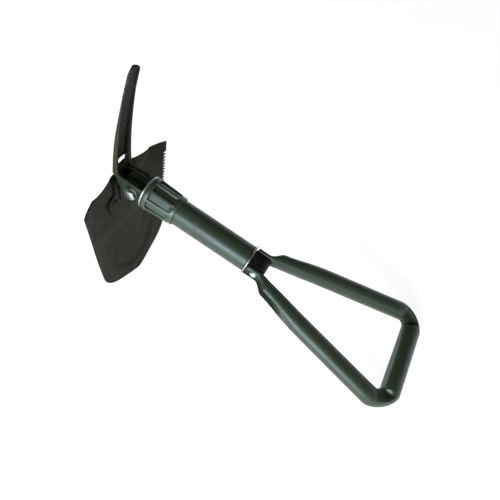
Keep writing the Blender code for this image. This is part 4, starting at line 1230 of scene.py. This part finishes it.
class SHOVEL_OT_grip(Operator):
    """Triangular grip: one bent tube with its ends pressed into channels"""

    bl_idname = "shovel.grip"
    bl_label = "Grip"

    def execute(self, context):
        sizes = context.scene.shovel_sizes
        bm, outer = loft(grip_rings(sizes, 0.0))
        bm, inner = loft(grip_rings(sizes, sizes.grip_wall), False, bm)
        skin(bm, outer[0], inner[0])
        skin(bm, outer[-1], inner[-1])
        grip = raw_piece("grip", bm)
        carve(grip, "DIFFERENCE", rod(0.003 + GAP, 0.03, along_y()))
        finish_piece(grip, frames()["grip"], "grip", paint(context, "grip_enamel"), ["grip_tube"])
        return {"FINISHED"}


class SHOVEL_OT_grip_hinge(Operator):
    """Tongue at the shaft's end, the hinge rivet and the washers beside the tongue"""

    bl_idname = "shovel.grip_hinge"
    bl_label = "Grip hinge"

    def execute(self, context):
        sizes = context.scene.shovel_sizes
        shaft = frames()["shaft"]
        hinge = frames()["grip"]
        half = 0.008
        start = 0.0007 + GAP
        turn = half * 0.8
        end = 0.0232
        outline = [(start, half), (start, -half)] + arc((end - turn, turn - half), turn, -90, 0, 12)
        outline += arc((end - turn, half - turn), turn, 0, 90, 12)
        tongue = raw_piece("hinge_tongue", slab(outline, -0.0088, 0.0088))
        rear = -0.0007 - GAP
        plug = sizes.tube_width / 2 - 0.0012 - GAP
        stem = [(rear - 0.030, 0.0), (rear - 0.030, plug), (rear, plug), (rear, half - GAP),
                (start + half, half - GAP), (start + half, 0.0)]
        carve(tongue, "UNION", lathe(stem, 48))
        drill = Matrix.Translation((HINGE_REACH, 0.0, 0.0)) @ along_y()
        carve(tongue, "DIFFERENCE", rod(0.003 + GAP, 0.03, drill))
        look = black(context, "hinge_tongue_black")
        finish_piece(tongue, shaft, "shaft", look, ["grip_tongue"], sizes.edge)

        seat = LEG_IN + 0.0030 + GAP
        right = dome(0.0046, 0.0036, seat)
        outline = [(-x, r) for x, r in reversed(right)] + [(-seat, 0.003), (seat, 0.003)] + right
        rivet = raw_piece("hinge_rivet_heads", lathe(outline, 48, along_y()))
        finish_piece(rivet, hinge, "shaft", zinc(context, "hinge_rivet_zinc", 1.2, 0.42), ["hinge_rivet"])
        seat = 0.0088 + GAP
        for name, side in (("hinge_washer_near", -1), ("hinge_washer_far", 1)):
            bore = 0.003 + GAP
            outline = [(seat, bore), (seat, 0.0075), (seat + 0.0008, 0.0075), (seat + 0.0008, bore)]
            washer = raw_piece(name + "_plate",
                               lathe(eased(outline, 0.00025), 48, Matrix.Rotation(side * math.pi / 2, 4, "Z")))
            finish_piece(washer, hinge, "shaft", black(context, name + "_black"), [name])
        return {"FINISHED"}


# Stage


def lamp(name, place, target, width, height, power, tint):
    """A soft rectangular lamp aimed at a point."""
    data = bpy.data.lights.new(name, "AREA")
    data.shape = "RECTANGLE"
    data.size = width
    data.size_y = height
    data.energy = power
    data.color = tint
    light = bpy.data.objects.new(name, data)
    bpy.context.scene.collection.objects.link(light)
    light.location = place
    light.rotation_euler = (Vector(target) - Vector(place)).to_track_quat("-Z", "Y").to_euler()
    return light


def seen_rays(tree):
    """1 for rays from the camera, a mirror or glass, which see the stage's background."""
    path = tree.nodes.new("ShaderNodeLightPath")
    seen = path.outputs["Is Camera Ray"]
    for kind in ("Is Glossy Ray", "Is Transmission Ray"):
        either = tree.nodes.new("ShaderNodeMath")
        either.operation = "MAXIMUM"
        tree.links.new(seen, either.inputs[0])
        tree.links.new(path.outputs[kind], either.inputs[1])
        seen = either.outputs["Value"]
    return seen


def studio_world(context):
    """White where seen, white walls under a dark ceiling where mirrored, plain dim light elsewhere."""
    world = bpy.data.worlds.new("studio")
    context.scene.world = world
    world.use_nodes = True
    tree = world.node_tree
    background = tree.nodes["Background"]
    background.inputs["Color"].default_value = (1.0, 1.0, 1.0, 1.0)
    direction = tree.nodes.new("ShaderNodeTexCoord").outputs["Generated"]
    split = tree.nodes.new("ShaderNodeSeparateXYZ")
    tree.links.new(direction, split.inputs["Vector"])
    ceiling = tree.nodes.new("ShaderNodeMapRange")
    ceiling.interpolation_type = "SMOOTHSTEP"
    tree.links.new(split.outputs["Z"], ceiling.inputs["Value"])
    ceiling.inputs["From Min"].default_value = 0.12
    ceiling.inputs["From Max"].default_value = 0.42
    ceiling.inputs["To Min"].default_value = 1.0
    ceiling.inputs["To Max"].default_value = 0.06
    view = tree.nodes.new("ShaderNodeMath")
    view.operation = "MAXIMUM"
    tree.links.new(ceiling.outputs["Result"], view.inputs[0])
    tree.links.new(tree.nodes.new("ShaderNodeLightPath").outputs["Is Camera Ray"], view.inputs[1])
    level = tree.nodes.new("ShaderNodeMapRange")
    tree.links.new(seen_rays(tree), level.inputs["Value"])
    level.inputs["To Min"].default_value = 0.02
    tree.links.new(view.outputs["Value"], level.inputs["To Max"])
    tree.links.new(level.outputs["Result"], background.inputs["Strength"])


def white_floor(finish):
    """Pale paper that is lifted to white where seen, with the shadows kept."""
    make = Finish("floor_paper")
    make.feed(make.shader.inputs["Base Color"], shade(finish.floor, 1.0))
    make.shader.inputs["Roughness"].default_value = 0.9
    make.shader.inputs["Specular IOR Level"].default_value = 0.1
    make.shader.inputs["Emission Color"].default_value = (1.0, 1.0, 1.0, 1.0)
    lift = make.span(seen_rays(make.tree), 0.0, 1.0, 0.0, 0.88)
    make.feed(make.shader.inputs["Emission Strength"], lift)
    return make.material


class SHOVEL_OT_stage(Operator):
    """Pale floor, soft lamps and the camera"""

    bl_idname = "shovel.stage"
    bl_label = "Stage"

    def execute(self, context):
        finish = context.scene.shovel_finish
        bm = bmesh.new()
        bmesh.ops.create_circle(bm, cap_ends=True, segments=96, radius=8.0)
        floor = raw_piece("floor", bm)
        floor.data.materials.append(white_floor(finish))
        floor.location = (0.0, 0.0, -0.0004)
        aim = (-0.02, 0.0, 0.12)
        key = lamp("key_lamp", (0.12, -1.02, 0.45), aim, 0.42, 0.56, 9.4, (0.86, 0.96, 1.0))
        back = lamp("back_lamp", (-3.94, 1.80, 1.24), aim, 2.0, 2.0, 41.0, (0.96, 0.98, 1.0))
        studio_world(context)

        shaft = frames()["shaft"]
        right = Vector(CAMERA_RIGHT)
        up = Vector(CAMERA_UP)
        turn = Matrix((right, up, right.cross(up))).transposed().to_4x4()
        data = bpy.data.cameras.new("camera")
        data.lens = CAMERA_LENS
        data.sensor_width = 36.0
        data.clip_start = 0.01
        camera = bpy.data.objects.new("camera", data)
        context.scene.collection.objects.link(camera)
        camera.matrix_world = shaft @ Matrix.Translation(CAMERA_PLACE) @ turn
        context.scene.camera = camera
        context.scene.view_settings.view_transform = "Standard"
        return {"FINISHED"}


STEPS = (SHOVEL_OT_blade, SHOVEL_OT_bracket, SHOVEL_OT_bracket_rivets, SHOVEL_OT_pick, SHOVEL_OT_pivot,
         SHOVEL_OT_head, SHOVEL_OT_collar, SHOVEL_OT_shaft, SHOVEL_OT_grip_hinge, SHOVEL_OT_grip, SHOVEL_OT_stage)


class SHOVEL_PT_panel(Panel):
    """Sizes, colours and building steps of the shovel"""

    bl_label = "Folding camp shovel"
    bl_idname = "SHOVEL_PT_panel"
    bl_space_type = "VIEW_3D"
    bl_region_type = "UI"
    bl_category = "Shovel"

    def draw(self, context):
        for group in (context.scene.shovel_sizes, context.scene.shovel_finish):
            column = self.layout.column()
            for key in group.__annotations__:
                column.prop(group, key)
        for step in STEPS:
            self.layout.operator(step.bl_idname)


CLASSES = (ShovelSizes, ShovelFinish) + STEPS + (SHOVEL_PT_panel,)


def register():
    """Make the classes known and give each scene its settings."""
    for kind in CLASSES:
        bpy.utils.register_class(kind)
    bpy.types.Scene.shovel_sizes = PointerProperty(type=ShovelSizes)
    bpy.types.Scene.shovel_finish = PointerProperty(type=ShovelFinish)


def unregister():
    """Take the settings and classes away again."""
    del bpy.types.Scene.shovel_finish
    del bpy.types.Scene.shovel_sizes
    for kind in reversed(CLASSES):
        bpy.utils.unregister_class(kind)


def main():
    """Build every piece and the stage."""
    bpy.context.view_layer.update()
    register()
    bpy.ops.shovel.blade()
    bpy.ops.shovel.bracket()
    bpy.ops.shovel.bracket_rivets()
    bpy.ops.shovel.pick()
    bpy.ops.shovel.pivot()
    bpy.ops.shovel.head()
    bpy.ops.shovel.collar()
    bpy.ops.shovel.shaft()
    bpy.ops.shovel.grip_hinge()
    bpy.ops.shovel.grip()
    bpy.ops.shovel.stage()


if __name__ == "__main__":
    main()
